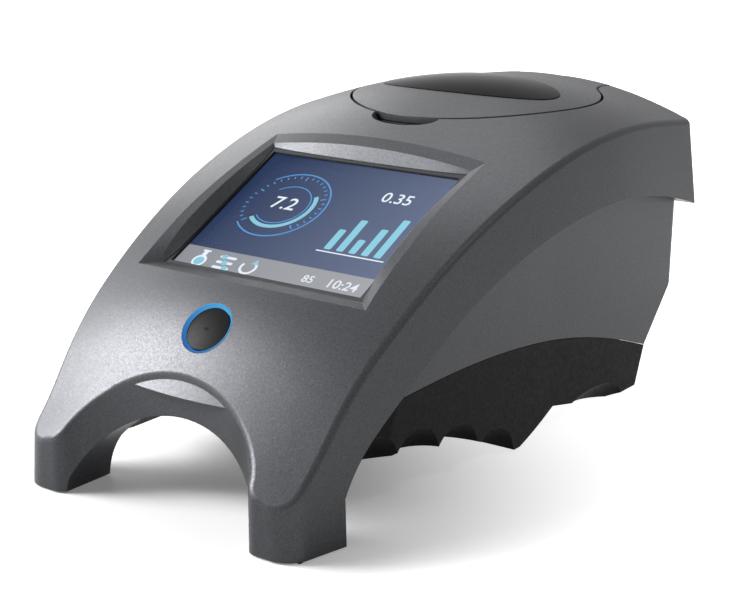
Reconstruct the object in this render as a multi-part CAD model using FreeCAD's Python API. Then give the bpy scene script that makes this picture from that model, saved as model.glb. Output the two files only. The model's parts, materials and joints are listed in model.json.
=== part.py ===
import FreeCAD, Part
import math
import os

# Portable water quality analyzer: a crowned grey housing on two front legs, a black lower
# shell with finger grips, a tilted touch screen, a lit power button, and a round hinged lid
# over a chamber in which a motor spins the test disc.
# Millimetres. X is across, Y runs from the front to the rear, Z is up. The origin is at the
# middle of the footprint, on the surface that the analyzer stands on.
# Places along the body are distances from the front face, turned into Y by at().

# Overall form
LENGTH = 215.0
WIDTH = 119.4
HEIGHT = 106.8
WALL = 2.4
STAND_GAP = 0.5

# Crest of the shoulder line as shares of LENGTH and HEIGHT
CREST_HEIGHT = (
    (-0.037, 0.098), (0.0, 0.155), (0.053, 0.248), (0.1, 0.358), (0.147, 0.450), (0.24, 0.584),
    (0.356, 0.711), (0.472, 0.801), (0.588, 0.861), (0.705, 0.890), (0.821, 0.890),
    (0.937, 0.868), (1.037, 0.846),
)
# Half width at the shoulder line as shares of LENGTH and half WIDTH
CREST_HALF_WIDTH = (
    (-0.037, 0.812), (0.0, 0.831), (0.1, 0.876), (0.24, 0.928), (0.472, 0.983), (0.705, 1.0),
    (1.037, 0.958),
)
# Rise of the crowned deck above the shoulder line, in mm, and outward lean of the flanks
CROWN_RISE = (
    (-0.037, 8.2), (0.1, 8.8), (0.2, 8.4), (0.35, 7.0), (0.472, 6.5), (0.588, 8.3), (0.705, 11.0),
    (0.821, 11.5), (1.037, 11.1),
)
FLANK_LEAN = ((-0.037, 0.070), (1.037, 0.130))
DECK_STATIONS = (-0.028, 0.0, 0.028, 0.056, 0.084, 0.112, 0.144, 0.195, 0.26, 0.353, 0.47, 0.586,
                 0.702, 0.819, 0.935, 1.028)
BELOW = 6.0

# Front: legs, bay and arch
BAY_HALF_WIDTH = 35.0
BAY_DEPTH = 15.7
BAY_CORNER = 5.0
ARCH_HALF_WIDTH = 35.2
ARCH_HEIGHT = 27.2
ARCH_END = 58.0
LEG_CORNER = 8.0
LEG_DEPTH = 19.3
REAR_CORNER = 3.0
SHOULDER_RADIUS = 2.2

# Lower edge of the flank, from the rear forwards, as share of LENGTH and height
FLANK_EDGE = (
    (1.0419, 59.0), (0.9302, 66.5), (0.8219, 71.6), (0.6977, 73.4), (0.5172, 68.8), (0.314, 52.3),
    (0.2009, 36.5), (0.1233, 23.0), (0.0944, 14.0),
)
# Seam between the grey housing and the black base, from the front to the rear, likewise
BASE_SEAM = (
    (0.0372, 34.6), (0.2074, 36.0), (0.3758, 36.3), (0.5405, 33.7), (0.6614, 29.5), (0.8065, 21.3),
    (0.8967, 14.8), (1.0419, 2.0),
)
SEAM_GAP = 0.15

# Body under the flanks
BODY_HALF_FRONT = 56.0
BODY_HALF_REAR = 54.6
BODY_STRAIGHT_FROM = LENGTH * 0.605
BODY_DRAFT = 1.5
BODY_CORNER = 4.0
SIDE_INSET = 1.6
BODY_REAR_GAP = 0.3
REAR_KNEE = (LENGTH - 1.7, 34.5)
REAR_SEAM = (LENGTH - 20.2, 14.4)
REAR_HEEL = (LENGTH - 25.6, 0.0)
TUNNEL_FLOOR = 15.6

# Underside of the base, as distance from the front and height
FOOT_FRONT = LENGTH - 43.0
THUMB_EDGE = (LENGTH - 82.8, 8.8)
HOLLOW_MIDDLE = (LENGTH - 92.5, 4.6)
KEEL_REAR = (LENGTH - 103.0, 1.0)
KEEL = (LENGTH - 106.5, 1.0)
THIRD_RIDGE = (86.2, 10.7)
FLOOR_END = 69.0

# Line of the ridges between the finger scoops, along the lower edge of the side
RIDGE_LINE = ((20.0, 25.0), (41.8, 20.6), (65.1, 16.7), THIRD_RIDGE, KEEL)
RELIEF_FRONT = (8.0, 27.3)
RELIEF_REAR = (65.1, 16.35)
RELIEF_SLOPE = 0.3

# Finger and thumb scoops in the base
FINGER_COUNT = 4
FINGER_PITCH = 21.3
FINGER_FIRST = 31.6
FINGER_RADIUS = 13.0
FINGER_OUT = 57.5
FINGER_DROP = 7.0
THUMB_MIDDLE = LENGTH - 57.0
THUMB_HALF_LENGTH = 26.0
THUMB_RADIUS = 9.0
THUMB_OUT = 58.5
THUMB_HEIGHT = 0.5

# Foot pads
FRONT_PAD_SIZE = (12.0, 11.0)
FRONT_PAD_PLACE = (45.0, 9.5)
REAR_PAD_SIZE = (16.0, 10.0)
REAR_PAD_PLACE = (26.0, LENGTH - 34.5)
PAD_THICKNESS = 1.7
LEG_FLOOR = 3.6

# Screen stack, in a frame tilted about X
SCREEN_FROM_FRONT = 76.3
SCREEN_TILT = 27.3
SCREEN_DEPTH = 9.6
WINDOW = (72.6, 56.8)
GLASS_MARGIN = 3.2
GLASS_THICKNESS = 1.6
GASKET_THICKNESS = 0.8
LCD_THICKNESS = 3.4
LCD_MARGIN = 2.0
BRACKET_THICKNESS = 1.2
BRACKET_MARGIN = 6.0
FRAME_MARGIN = 6.5
FRAME_AHEAD = 12.0

# Recess over the glass: its walls end on a line below the deck, from which a bevel runs out.
# Distances are from the middle of the glass, ahead and behind.
WALL_HALF_WIDTH = (39.0, 38.7)
WALL_AHEAD = 27.8
WALL_BEHIND = 27.7
BEVEL_HALF_WIDTH = (43.5, 41.0)
BEVEL_AHEAD = 32.8
BEVEL_BEHIND = 32.2
BEVEL_BULGE = 5.0
BEVEL_DROP = ((-27.8, 4.2), (-20.0, 1.6), (-6.0, 0.9), (27.7, 0.9))
SHELF_RISE = 0.2
RIM_STEPS = 8
SCREEN_SCREW = (43.4, 24.0)
STACK_GAP = 0.1
STACK_CLEARANCE = 0.3

# Power button
BUTTON_FROM_FRONT = 25.9
BUTTON_DIAMETER = 14.2
BUTTON_DOME = 0.6
BUTTON_SINK = 0.9
BUTTON_CLEARANCE = 0.3
BUTTON_TRAVEL = 0.8
RING_WIDTH = 0.7
RING_LIP = 0.2
RING_FLANGE = 1.6
RING_FLANGE_LENGTH = 1.4
BUTTON_FLANGE_LENGTH = 1.2
BUTTON_BOARD = (40.0, 15.0)
BUTTON_BOARD_DEPTH = 12.2
BUTTON_POST_SPREAD = 15.5
SWITCH_SIZE = 6.2
SWITCH_HEIGHT = 3.3
PLUNGER_DIAMETER = 3.4
PLUNGER_HEIGHT = 0.7
STEM_DIAMETER = 4.0

# Lid and chamber
LID_FROM_FRONT = LENGTH - 49.0
LID_RADIUS = 42.3
LID_GAP = 0.9
LID_SKIN = 2.4
LID_SKIRT = 2.0
LID_REST = 0.3
TAIL_HALF_WIDTH = 25.5
TAIL_BLEND = 24.0
HINGE_RADIUS = 6.0
HINGE_CLEARANCE = 0.6
PIN_DIAMETER = 3.0
PIN_CLEARANCE = 0.04
PIN_LUG = 7.0
WELL_WALL = 2.2
WELL_OVERLAP = 1.2
FLANGE_THICKNESS = 2.6
FLANGE_CLEARANCE = 0.4
BOWL_RADIUS = 32.0
BOWL_WALL = 1.8
BOWL_DEPTH = 16.7
BOWL_CORNER = 3.0
EAR_REACH = 48.5
EAR_SPREAD = 17.0
EAR_DROP = 9.0
EAR_THICKNESS = 2.5
BOSS_DIAMETER = 7.0
SEAL_WIDTH = 1.9
SEAL_THICKNESS = 1.0
LINER_THICKNESS = 2.2
LINER_CLEARANCE = 0.3
MAGNET_DIAMETER = 4.4
MAGNET_THICKNESS = 1.8
MAGNET_REACH = 37.2
CATCH_THICKNESS = 1.0
LINER_SCREW_REACH = 27.0
BADGE_HALF = (33.5, 18.0)
BADGE_FROM_FRONT = LENGTH - 53.0
BADGE_DEPTH = 0.8
BADGE_PROUD = 0.2
NOTCH_HALF_WIDTH = 13.0
NOTCH_RADIUS = 7.0
NOTCH_RISE = 1.2

# Disc drive
FLOOR_BOSS = 6.0
MOTOR_DIAMETER = 28.0
MOTOR_LENGTH = 18.0
MOTOR_PLATE = (33.0, 36.0, 2.0)
MOTOR_SCREW_CIRCLE = 9.5
PLATE_SCREW = (13.5, 14.5)
SHAFT_DIAMETER = 3.0
SHAFT_BELOW = 13.0
SHAFT_CLEARANCE = 0.05
HUB_COLLAR_DIAMETER = 12.0
HUB_SEAT_DIAMETER = 24.0
HUB_SEAT_THICKNESS = 2.0
HUB_SPIGOT_DIAMETER = 8.0
HUB_SPIGOT_HEIGHT = 4.5
HUB_SEAT_RISE = 6.0
HUB_KEYS = 3
HUB_KEY_DIAMETER = 2.4
HUB_KEY_CIRCLE = 8.5
HUB_KEY_HEIGHT = 2.0

# Photometer
OPTICS_REACH = 23.0
OPTICS_BLOCK = (11.0, 20.0, 9.0)
OPTICS_WINDOW = (7.0, 15.0)
WINDOW_MARGIN = 1.2
WINDOW_THICKNESS = 1.4
LAMP_COUNT = 3
LAMP_PITCH = 4.6
LAMP_DIAMETER = 3.0
LED_BOARD = (13.0, 30.0)
LED_SCREW_SPREAD = 12.7
LED_POST = 4.8
DETECTOR_BOARD = (11.0, 19.0)
BOARD_THICKNESS = 1.6

# Boards, battery and socket
MAIN_BOARD = (84.0, 84.0)
MAIN_BOARD_MIDDLE = LENGTH - 116.0
MAIN_BOARD_HEIGHT = 45.0
MAIN_BOARD_HOLE = (38.0, 37.0)
POST_DIAMETER = 6.0
CELL_DIAMETER = 18.4
CELL_LENGTH = 66.0
PACK_SKIN = 0.4
PACK_MIDDLE = LENGTH - 123.0
PACK_CLEARANCE = 0.2
PACK_FLOOR = 16.0
STRAP_THICKNESS = 1.2
STRAP_WIDTH = 16.0
STRAP_FOOT = 9.0
SOCKET_BOARD = (46.0, 20.0)
SOCKET_BOARD_HEIGHT = 50.0
SOCKET_SIZE = (9.2, 8.0, 4.2)
SOCKET_CLEARANCE = 0.3
SOCKET_BOSS_SPREAD = 18.0

# Screws and their bosses
SHANK = 2.2
HEAD = 4.4
HEAD_HEIGHT = 1.6
GRIP_LENGTH = 5.0
SCREW_CLEARANCE = 0.2
FRONT_CASE_SCREW = (38.0, 34.5)
SIDE_CASE_SCREWS = ((44.0, LENGTH - 68.0), (44.0, LENGTH - 34.0))
SIDE_BOSS_HEIGHT = 24.0
CASE_SEAT_DEPTH = 4.0
RIB = 2.0

OUT = 200.0
FRONT = -LENGTH / 2
REAR = LENGTH / 2

os.makedirs("parts", exist_ok=True)


def vec(x, y, z):
    return FreeCAD.Vector(x, y, z)


def at(distance):
    """Y of a place that lies this far behind the front face."""
    return FRONT + distance


def block(x0, x1, y0, y1, z0, z1):
    return Part.makeBox(x1 - x0, y1 - y0, z1 - z0, vec(x0, y0, z0))


def slab(width, depth, thickness, x, y, z):
    """Box centred on x and y, from z upwards."""
    return Part.makeBox(width, depth, thickness, vec(x - width / 2, y - depth / 2, z))


def rod(diameter, length, base, axis=None):
    return Part.makeCylinder(diameter / 2, length, base, axis or vec(0, 0, 1))


def tube(outer, inner, length, base):
    return rod(outer, length, base).cut(rod(inner, length, base))


def mirrored(shape):
    return shape.mirror(vec(0, 0, 0), vec(1, 0, 0))


def both_sides(shape):
    return Part.makeCompound([shape, mirrored(shape)])


def save(name, shape):
    solids = shape.Solids
    result = solids[0] if len(solids) == 1 else Part.makeCompound(solids)
    result.exportStep("parts/" + name + ".step")


def blend(knots, place):
    """Height of a smooth curve through the knots at a place."""
    last = len(knots) - 1
    index = 0
    while index < last - 1 and place > knots[index + 1][0]:
        index += 1
    slopes = []
    for k in (index, index + 1):
        before, after = knots[max(k - 1, 0)], knots[min(k + 1, last)]
        slopes.append((after[1] - before[1]) / (after[0] - before[0]))
    start, end = knots[index], knots[index + 1]
    span = end[0] - start[0]
    t = (place - start[0]) / span
    rise = (3 - 2 * t) * t * t
    ease_in = t * (1 - t) ** 2 * span
    ease_out = (t - 1) * t * t * span
    return (1 - rise) * start[1] + rise * end[1] + ease_in * slopes[0] + ease_out * slopes[1]


def crest(share, inset=0.0):
    """Half width and height of the shoulder line, and rise of the crown."""
    half = blend(CREST_HALF_WIDTH, share) * WIDTH / 2 - inset
    height = blend(CREST_HEIGHT, share) * HEIGHT - inset
    return half, height, blend(CROWN_RISE, share)


def deck_z(x, y, inset=0.0):
    """Height of the crowned deck."""
    half, height, rise = crest((y - FRONT) / LENGTH, inset)
    return height + rise * (1 - (x / half) ** 2)


def deck_section(share, inset):
    y = FRONT + share * LENGTH
    half, height, rise = crest(share, inset)
    foot = half + blend(FLANK_LEAN, share) * (height + BELOW)
    left_foot, right_foot = vec(-foot, y, -BELOW), vec(foot, y, -BELOW)
    right, left = vec(half, y, height), vec(-half, y, height)
    crown = Part.BezierCurve()
    crown.setPoles([right, vec(0, y, height + 2 * rise), left])
    return Part.Wire([
        Part.LineSegment(left_foot, right_foot).toShape(),
        Part.LineSegment(right_foot, right).toShape(),
        crown.toShape(),
        Part.LineSegment(left, left_foot).toShape(),
    ])


def deck_form(inset=0.0):
    """Solid under the deck and between the leaning flanks, drawn in by the inset."""
    sections = [deck_section(share, inset) for share in DECK_STATIONS]
    return Part.makeLoft(sections, True, False)


def side_point(distance, height):
    return vec(-OUT / 2, at(distance), height)


def side_line(*points):
    corners = [side_point(*point) for point in points]
    return [Part.LineSegment(a, b).toShape() for a, b in zip(corners, corners[1:])]


def side_curve(points):
    curve = Part.BSplineCurve()
    curve.interpolate([side_point(*point) for point in points])
    return curve.toShape()


def side_prism(edges):
    """Solid across the whole width from a closed outline in side view."""
    return Part.Face(Part.Wire(edges)).extrude(vec(OUT, 0, 0))


def shifted(points, back, up):
    """Side points from shares of LENGTH, moved back and up."""
    return [(share * LENGTH + back, height + up) for share, height in points]


def upright_edges(shape, wanted):
    found = []
    for edge in shape.Edges:
        start, end = edge.Vertexes[0].Point, edge.Vertexes[-1].Point
        if abs(start.z - end.z) > 10 and wanted((start + end) * 0.5):
            found.append(edge)
    return found


def plan_form(inset=0.0):
    """Plan outline as a tall block, with the bay between the legs cut in."""
    form = block(-OUT / 2, OUT / 2, FRONT + inset, REAR - inset, -BELOW, HEIGHT * 1.3)
    half, depth = BAY_HALF_WIDTH + inset, BAY_DEPTH + inset
    bay = Part.Ellipse(vec(0, FRONT, -BELOW), half, depth).toShape()
    form = form.cut(Part.Face(Part.Wire(bay)).extrude(vec(0, 0, HEIGHT * 2)))
    corners = upright_edges(form, lambda p: abs(p.x) < half + 1)
    return form.makeFillet(BAY_CORNER, corners)


def flank_region(back=0.0, up=0.0):
    """Everything above the lower edge of the flanks and in front of the leg backs."""
    edge = shifted(FLANK_EDGE, back, up)
    first, last = edge[0], edge[-1]
    leg_back = LEG_DEPTH + back
    top = HEIGHT * 1.3
    frame = side_line(last, (leg_back, -BELOW), (-12, -BELOW), (-12, top), (first[0], top), first)
    return side_prism([side_curve(edge)] + frame)


def is_rim(edge):
    """True for the edges round the deck, but not the uprights or the flank's lower edge."""
    start, end = edge.Vertexes[0].Point, edge.Vertexes[-1].Point
    lowest = min(start.z, end.z)
    upright = abs(start.z - end.z) > 10 and abs(start.y - end.y) < 8
    y = (start.y + end.y) / 2
    share = (max(start.y, end.y) - FRONT) / LENGTH
    under = edge.BoundBox.ZMax < blend(CREST_HEIGHT, share) * HEIGHT - 12 and y > 0
    crossing = abs(start.y - end.y) > LENGTH / 2 and lowest < deck_z(0, FRONT) - 8
    return lowest > 15 and not upright and not under and not crossing


def flank_form():
    """Deck, flanks and legs as one solid with rounded corners."""
    form = deck_form().common(plan_form()).common(flank_region()).Solids[0]
    outer = upright_edges(form, lambda p: p.y < FRONT + 1 and abs(p.x) > BAY_HALF_WIDTH + 9)
    form = form.makeFillet(LEG_CORNER, outer)
    rear = upright_edges(form, lambda p: p.y > REAR - 1)
    form = form.makeFillet(REAR_CORNER, rear)
    return form.makeFillet(SHOULDER_RADIUS, [edge for edge in form.Edges if is_rim(edge)])


def body_plan(height, inset):
    draft = BODY_DRAFT * (1 - height / HEIGHT)
    front = BODY_HALF_FRONT - draft - inset
    rear = BODY_HALF_REAR - draft - inset
    end = LENGTH - BODY_REAR_GAP - inset
    rows = ((front, 8.0), (front, 36.0), (rear, BODY_STRAIGHT_FROM), (rear, end))
    right = [vec(half, at(distance), height) for half, distance in rows]
    left = [vec(-p.x, p.y, height) for p in reversed(right)]
    return Part.makePolygon(right + left + [right[0]])


def body_block(inset=0.0):
    """The drafted sides of the body below the flanks."""
    form = Part.makeLoft([body_plan(-BELOW, inset), body_plan(HEIGHT, inset)], True, True)
    corners = upright_edges(form, lambda p: p.y > REAR - 8)
    return form.makeFillet(BODY_CORNER - inset, corners)


def underside(raise_by):
    """Underside of the base in side view, from the rear foot to the front."""
    foot = STAND_GAP + raise_by
    keel = KEEL[1] + raise_by
    thumb = (THUMB_EDGE[0], THUMB_EDGE[1] + raise_by)
    keel_rear = (KEEL_REAR[0], keel)
    hollow = Part.Arc(side_point(*thumb), side_point(HOLLOW_MIDDLE[0], HOLLOW_MIDDLE[1] + raise_by),
                      side_point(*keel_rear)).toShape()
    rear = side_line((REAR_HEEL[0], foot), (FOOT_FRONT, foot), thumb)
    front = side_line(keel_rear, (KEEL[0], keel), (THIRD_RIDGE[0], THIRD_RIDGE[1] + raise_by),
                      (FLOOR_END, TUNNEL_FLOOR + raise_by), (10.0, TUNNEL_FLOOR + raise_by))
    return rear + [hollow] + front


def body_profile(inset=0.0):
    """Closed side outline of the body, drawn in by the inset."""
    foot = STAND_GAP + inset
    heel = REAR_HEEL[0] - inset
    rear = side_line((LENGTH - BODY_REAR_GAP - inset, HEIGHT),
                     (REAR_KNEE[0] - inset, REAR_KNEE[1] + inset),
                     (REAR_SEAM[0] - inset, REAR_SEAM[1] + inset), (heel, foot))
    under = underside(inset)
    under[0] = side_line((heel, foot), (FOOT_FRONT, foot))[0]
    front = side_line((10.0, TUNNEL_FLOOR + inset), (10.0, HEIGHT),
                      (LENGTH - BODY_REAR_GAP - inset, HEIGHT))
    return side_prism(rear + under + front)


def arch_tunnel(grow=0.0):
    """Elliptical tunnel between the legs."""
    half, height = ARCH_HALF_WIDTH + grow, ARCH_HEIGHT + grow
    oval = Part.Ellipse(vec(half, 0, 0), vec(0, 0, height), vec(0, 0, 0)).toShape()
    oval.translate(vec(0, FRONT - 2, 0))
    return Part.Face(Part.Wire(oval)).extrude(vec(0, ARCH_END + 2 + grow, 0))


def on_line(points, distance):
    """Height on a line through points in side view."""
    for start, end in zip(points, points[1:]):
        if distance <= end[0]:
            break
    return start[1] + (end[1] - start[1]) * (distance - start[0]) / (end[0] - start[0])


def edge_relief(grow=0.0):
    """Sloping cuts that raise the lower edges of the sides towards the front."""
    ends = []
    for distance, height in (RELIEF_FRONT, (RELIEF_REAR[0] + grow, RELIEF_REAR[1])):
        inner, outer = BAY_HALF_WIDTH / 2, OUT / 2
        rise = [height + grow + (x - FINGER_OUT) * RELIEF_SLOPE for x in (inner, outer)]
        corners = [(inner, -BELOW), (outer, -BELOW), (outer, rise[1]), (inner, rise[0])]
        outline = [vec(x, at(distance), z) for x, z in corners]
        ends.append(Part.makePolygon(outline + outline[:1]))
    relief = Part.makeLoft(ends, True, True)
    return [relief, mirrored(relief)]


def scoops(grow=0.0):
    """Finger scoops and thumb rests in both lower edges of the base."""
    found = []
    for k in range(FINGER_COUNT):
        distance = FINGER_FIRST + k * FINGER_PITCH
        middle = vec(FINGER_OUT, at(distance), on_line(RIDGE_LINE, distance) - FINGER_DROP)
        found.append(Part.makeSphere(FINGER_RADIUS + grow, middle))
    oval = Part.Ellipse(vec(0, 0, 0), THUMB_HALF_LENGTH + grow, THUMB_RADIUS + grow)
    half_oval = oval.toShape(0, math.pi)
    chord = Part.LineSegment(half_oval.Vertexes[-1].Point, half_oval.Vertexes[0].Point).toShape()
    rest = Part.Face(Part.Wire([half_oval, chord])).revolve(vec(0, 0, 0), vec(1, 0, 0), 360)
    rest.rotate(vec(0, 0, 0), vec(0, 0, 1), 90)
    rest.translate(vec(THUMB_OUT, at(THUMB_MIDDLE), THUMB_HEIGHT))
    found.append(rest)
    return found + [mirrored(shape) for shape in found]


def below_seam(drop=0.0):
    seam = shifted(BASE_SEAM, 0, -drop)
    frame = side_line(seam[-1], (seam[-1][0], -BELOW), (seam[0][0], -BELOW), seam[0])
    return side_prism([side_curve(seam)] + frame)


BODY = body_block().common(body_profile()).common(deck_form(SIDE_INSET)).cut(arch_tunnel())


def shell_hollow():
    """Space inside both shells."""
    inner = deck_form(WALL)
    legs = inner.common(plan_form(WALL)).common(flank_region(-WALL, WALL))
    legs = legs.cut(block(-OUT / 2, OUT / 2, FRONT, at(LEG_DEPTH + 2), -BELOW, LEG_FLOOR))
    room = body_block(WALL).common(body_profile(WALL)).common(deck_form(SIDE_INSET + WALL))
    room = room.cut(block(-OUT / 2, OUT / 2, FRONT, at(LEG_DEPTH + WALL), 0, HEIGHT))
    hollow = legs.fuse(room).cut(arch_tunnel(WALL))
    return hollow.cut(scoops(WALL) + edge_relief(WALL))


HOLLOW = shell_hollow()
DECK = deck_form()
DECK_MIDDLE = deck_form(WALL / 2)
DECK_UNDER_LID = deck_form(LID_SKIN)
DECK_IN_LID = deck_form(LID_SKIN / 2)
DECK_OVER_LINER = deck_form(LID_SKIN + LINER_CLEARANCE / 2)

# Screen frame: local X across, local Y up the slope, local Z out of the glass
SCREEN_Y = at(SCREEN_FROM_FRONT)
SCREEN_Z = deck_z(0, SCREEN_Y) - SCREEN_DEPTH
SCREEN_PLACE = FreeCAD.Placement(vec(0, SCREEN_Y, SCREEN_Z), FreeCAD.Rotation(vec(1, 0, 0), SCREEN_TILT))
GLASS_SIZE = (WINDOW[0] + 2 * GLASS_MARGIN, WINDOW[1] + 2 * GLASS_MARGIN)
LCD_SIZE = (WINDOW[0] + 2 * LCD_MARGIN, WINDOW[1] + 2 * LCD_MARGIN)
LCD_TOP = -GLASS_THICKNESS - STACK_GAP
BRACKET_TOP = LCD_TOP - LCD_THICKNESS - STACK_GAP

# Button frame: local Z along the deck's normal
BUTTON_Y = at(BUTTON_FROM_FRONT)
DECK_STEP = 4.0
BUTTON_SLOPE = math.degrees(math.atan2(
    deck_z(0, BUTTON_Y + DECK_STEP) - deck_z(0, BUTTON_Y - DECK_STEP), 2 * DECK_STEP))
BUTTON_PLACE = FreeCAD.Placement(vec(0, BUTTON_Y, deck_z(0, BUTTON_Y)),
                                 FreeCAD.Rotation(vec(1, 0, 0), BUTTON_SLOPE))
RING_OUTER = BUTTON_DIAMETER + 2 * BUTTON_CLEARANCE + 2 * RING_WIDTH
BUTTON_SEAT = WALL + 1.0
RING_BOTTOM = -BUTTON_SEAT - RING_FLANGE_LENGTH
STEM_END = -BUTTON_BOARD_DEPTH + SWITCH_HEIGHT + PLUNGER_HEIGHT + BUTTON_TRAVEL + 0.2

# Lid and chamber places
LID_Y = at(LID_FROM_FRONT)
SEAT_Z = deck_z(0, LID_Y - LID_RADIUS) - LID_SKIN - LID_REST
LID_BOTTOM = SEAT_Z + LID_REST
PIN_Y = REAR - HINGE_RADIUS
PIN_Z = deck_z(0, PIN_Y) - HINGE_RADIUS
BOWL_FLOOR = SEAT_Z - BOWL_DEPTH
FLOOR_UNDER = BOWL_FLOOR - FLANGE_THICKNESS
EAR_TOP = SEAT_Z - EAR_DROP
PLATE_TOP = FLOOR_UNDER - FLOOR_BOSS
OPTICS_X = -OPTICS_REACH
FLANGE_RADIUS = LID_RADIUS + LID_GAP - FLANGE_CLEARANCE
SEAL_OUTER = LID_RADIUS - LID_REST
SEAL_PROUD = 0.1
LINER_TOP = LID_BOTTOM + LINER_THICKNESS
LINER_SINK = 1.2
LID_WINDOW_THICKNESS = 1.0
HUB_SEAT_TOP = BOWL_FLOOR + HUB_SEAT_RISE
PILOT_DIAMETER = 10.0
TROUGH_Y = PIN_Y - HINGE_RADIUS - HINGE_CLEARANCE - RIB
TROUGH_Z = PIN_Z - HINGE_RADIUS - HINGE_CLEARANCE - WALL

# Battery and socket places
PACK_PITCH = CELL_DIAMETER + PACK_SKIN
PACK_TOP = PACK_FLOOR + CELL_DIAMETER + 2 * PACK_SKIN
PACK_HALF = PACK_PITCH / 2 + CELL_DIAMETER / 2 + PACK_SKIN
STRAP_SEAT = 22.0
STRAP_SCREWS = [PACK_MIDDLE + side * (PACK_HALF + PACK_CLEARANCE + STRAP_THICKNESS + STRAP_FOOT / 2)
                for side in (-1, 1)]
SOCKET_BOARD_Y = REAR - BODY_REAR_GAP - WALL - SOCKET_SIZE[1]


def placed(shape, placement):
    moved = shape.copy()
    moved.Placement = placement.multiply(moved.Placement)
    return moved


def in_screen(shape):
    return placed(shape, SCREEN_PLACE)


def in_button(shape):
    return placed(shape, BUTTON_PLACE)


def screw(place, axis, reach, head_height=HEAD_HEIGHT):
    """Screw with its head's seat at the place and its shank along the axis."""
    way = vec(*axis)
    head = rod(HEAD, head_height, place - way * head_height, way)
    shank = rod(SHANK, reach, place, way)
    slot = rod(SHANK * 0.6, head_height * 0.5, place - way * head_height, way)
    return head.fuse(shank).cut(slot)


def lid_outline(grow, low, high):
    """Round lid with a necked tail to the rear, as a block between two heights."""
    radius, half, fillet = LID_RADIUS + grow, TAIL_HALF_WIDTH + grow, TAIL_BLEND - grow
    reach = radius + fillet
    side = half + fillet
    along = math.sqrt(reach ** 2 - side ** 2)
    end = REAR + 6
    touch = vec(side * radius / reach, LID_Y + along * radius / reach, low)
    straight = vec(half, LID_Y + along, low)
    turn = math.atan2(straight.y - touch.y, straight.x - touch.x)
    middle_angle = (math.atan2(touch.y - LID_Y - along, touch.x - side) % (2 * math.pi) + math.pi) / 2
    middle = vec(side + fillet * math.cos(middle_angle), LID_Y + along + fillet * math.sin(middle_angle), low)
    flip = lambda p: vec(-p.x, p.y, p.z)
    corner = vec(half, max(end, straight.y + 1), low)
    edges = [
        Part.Arc(flip(touch), vec(0, LID_Y - radius, low), touch).toShape(),
        Part.Arc(touch, middle, straight).toShape(),
        Part.LineSegment(straight, corner).toShape(),
        Part.LineSegment(corner, flip(corner)).toShape(),
        Part.LineSegment(flip(corner), flip(straight)).toShape(),
        Part.Arc(flip(straight), flip(middle), flip(touch)).toShape(),
    ]
    return Part.Face(Part.Wire(edges)).extrude(vec(0, 0, high - low))


def top_boss(x, y, low, diameter=BOSS_DIAMETER):
    """Upright boss from a height up into the deck's skin."""
    return rod(diameter, HEIGHT, vec(x, y, low)).common(DECK_MIDDLE)


def case_split(distance):
    """Height at which the bosses of the two shells meet."""
    return blend(BASE_SEAM, distance / LENGTH) - 1.0


def case_places():
    """Places of the case screws: x, distance from the front, height of the bosses' joint."""
    rows = [FRONT_CASE_SCREW] + list(SIDE_CASE_SCREWS)
    return [(side * x, distance, case_split(distance)) for x, distance in rows for side in (1, -1)]


def screen_frame():
    """Walls round the window, down to the gasket, and the posts for the bracket."""
    width, depth = WINDOW[0] + 2 * FRAME_MARGIN, WINDOW[1] + FRAME_MARGIN + FRAME_AHEAD
    ahead = (FRAME_MARGIN - FRAME_AHEAD) / 2
    walls = in_screen(slab(width, depth, HEIGHT / 2, 0, ahead, GASKET_THICKNESS)).common(DECK_MIDDLE)
    posts = []
    for x in (-SCREEN_SCREW[0], SCREEN_SCREW[0]):
        for y in (-SCREEN_SCREW[1], SCREEN_SCREW[1]):
            post = in_screen(rod(BOSS_DIAMETER, HEIGHT / 2, vec(x, y, BRACKET_TOP)))
            posts.append(post.common(DECK_MIDDLE))
    return [walls] + posts


def deck_point(x, behind, drop):
    """Point under the deck, this far behind the middle of the glass."""
    y = SCREEN_Y + behind
    return vec(x, y, deck_z(x, y) - drop)


def curve_through(points):
    curve = Part.BSplineCurve()
    curve.interpolate(points)
    return curve.toShape()


def recess_rim(half_widths, ahead, behind, bulge, drops):
    """Closed wire round the recess: front, right, rear and left."""
    shares = [step / RIM_STEPS for step in range(RIM_STEPS + 1)]
    front_half, rear_half = half_widths
    front = [deck_point(t * front_half, -ahead - bulge * (1 - t * t), blend(drops, -ahead))
             for t in [2 * share - 1 for share in shares]]
    rear = [deck_point(-t * rear_half, behind, blend(drops, behind)) for t in [2 * share - 1 for share in shares]]
    right = []
    for share in shares:
        place = -ahead + share * (ahead + behind)
        right.append(deck_point(front_half + share * (rear_half - front_half), place, blend(drops, place)))
    left = [vec(-point.x, point.y, point.z) for point in reversed(right)]
    return [front, right, rear, left]


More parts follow.
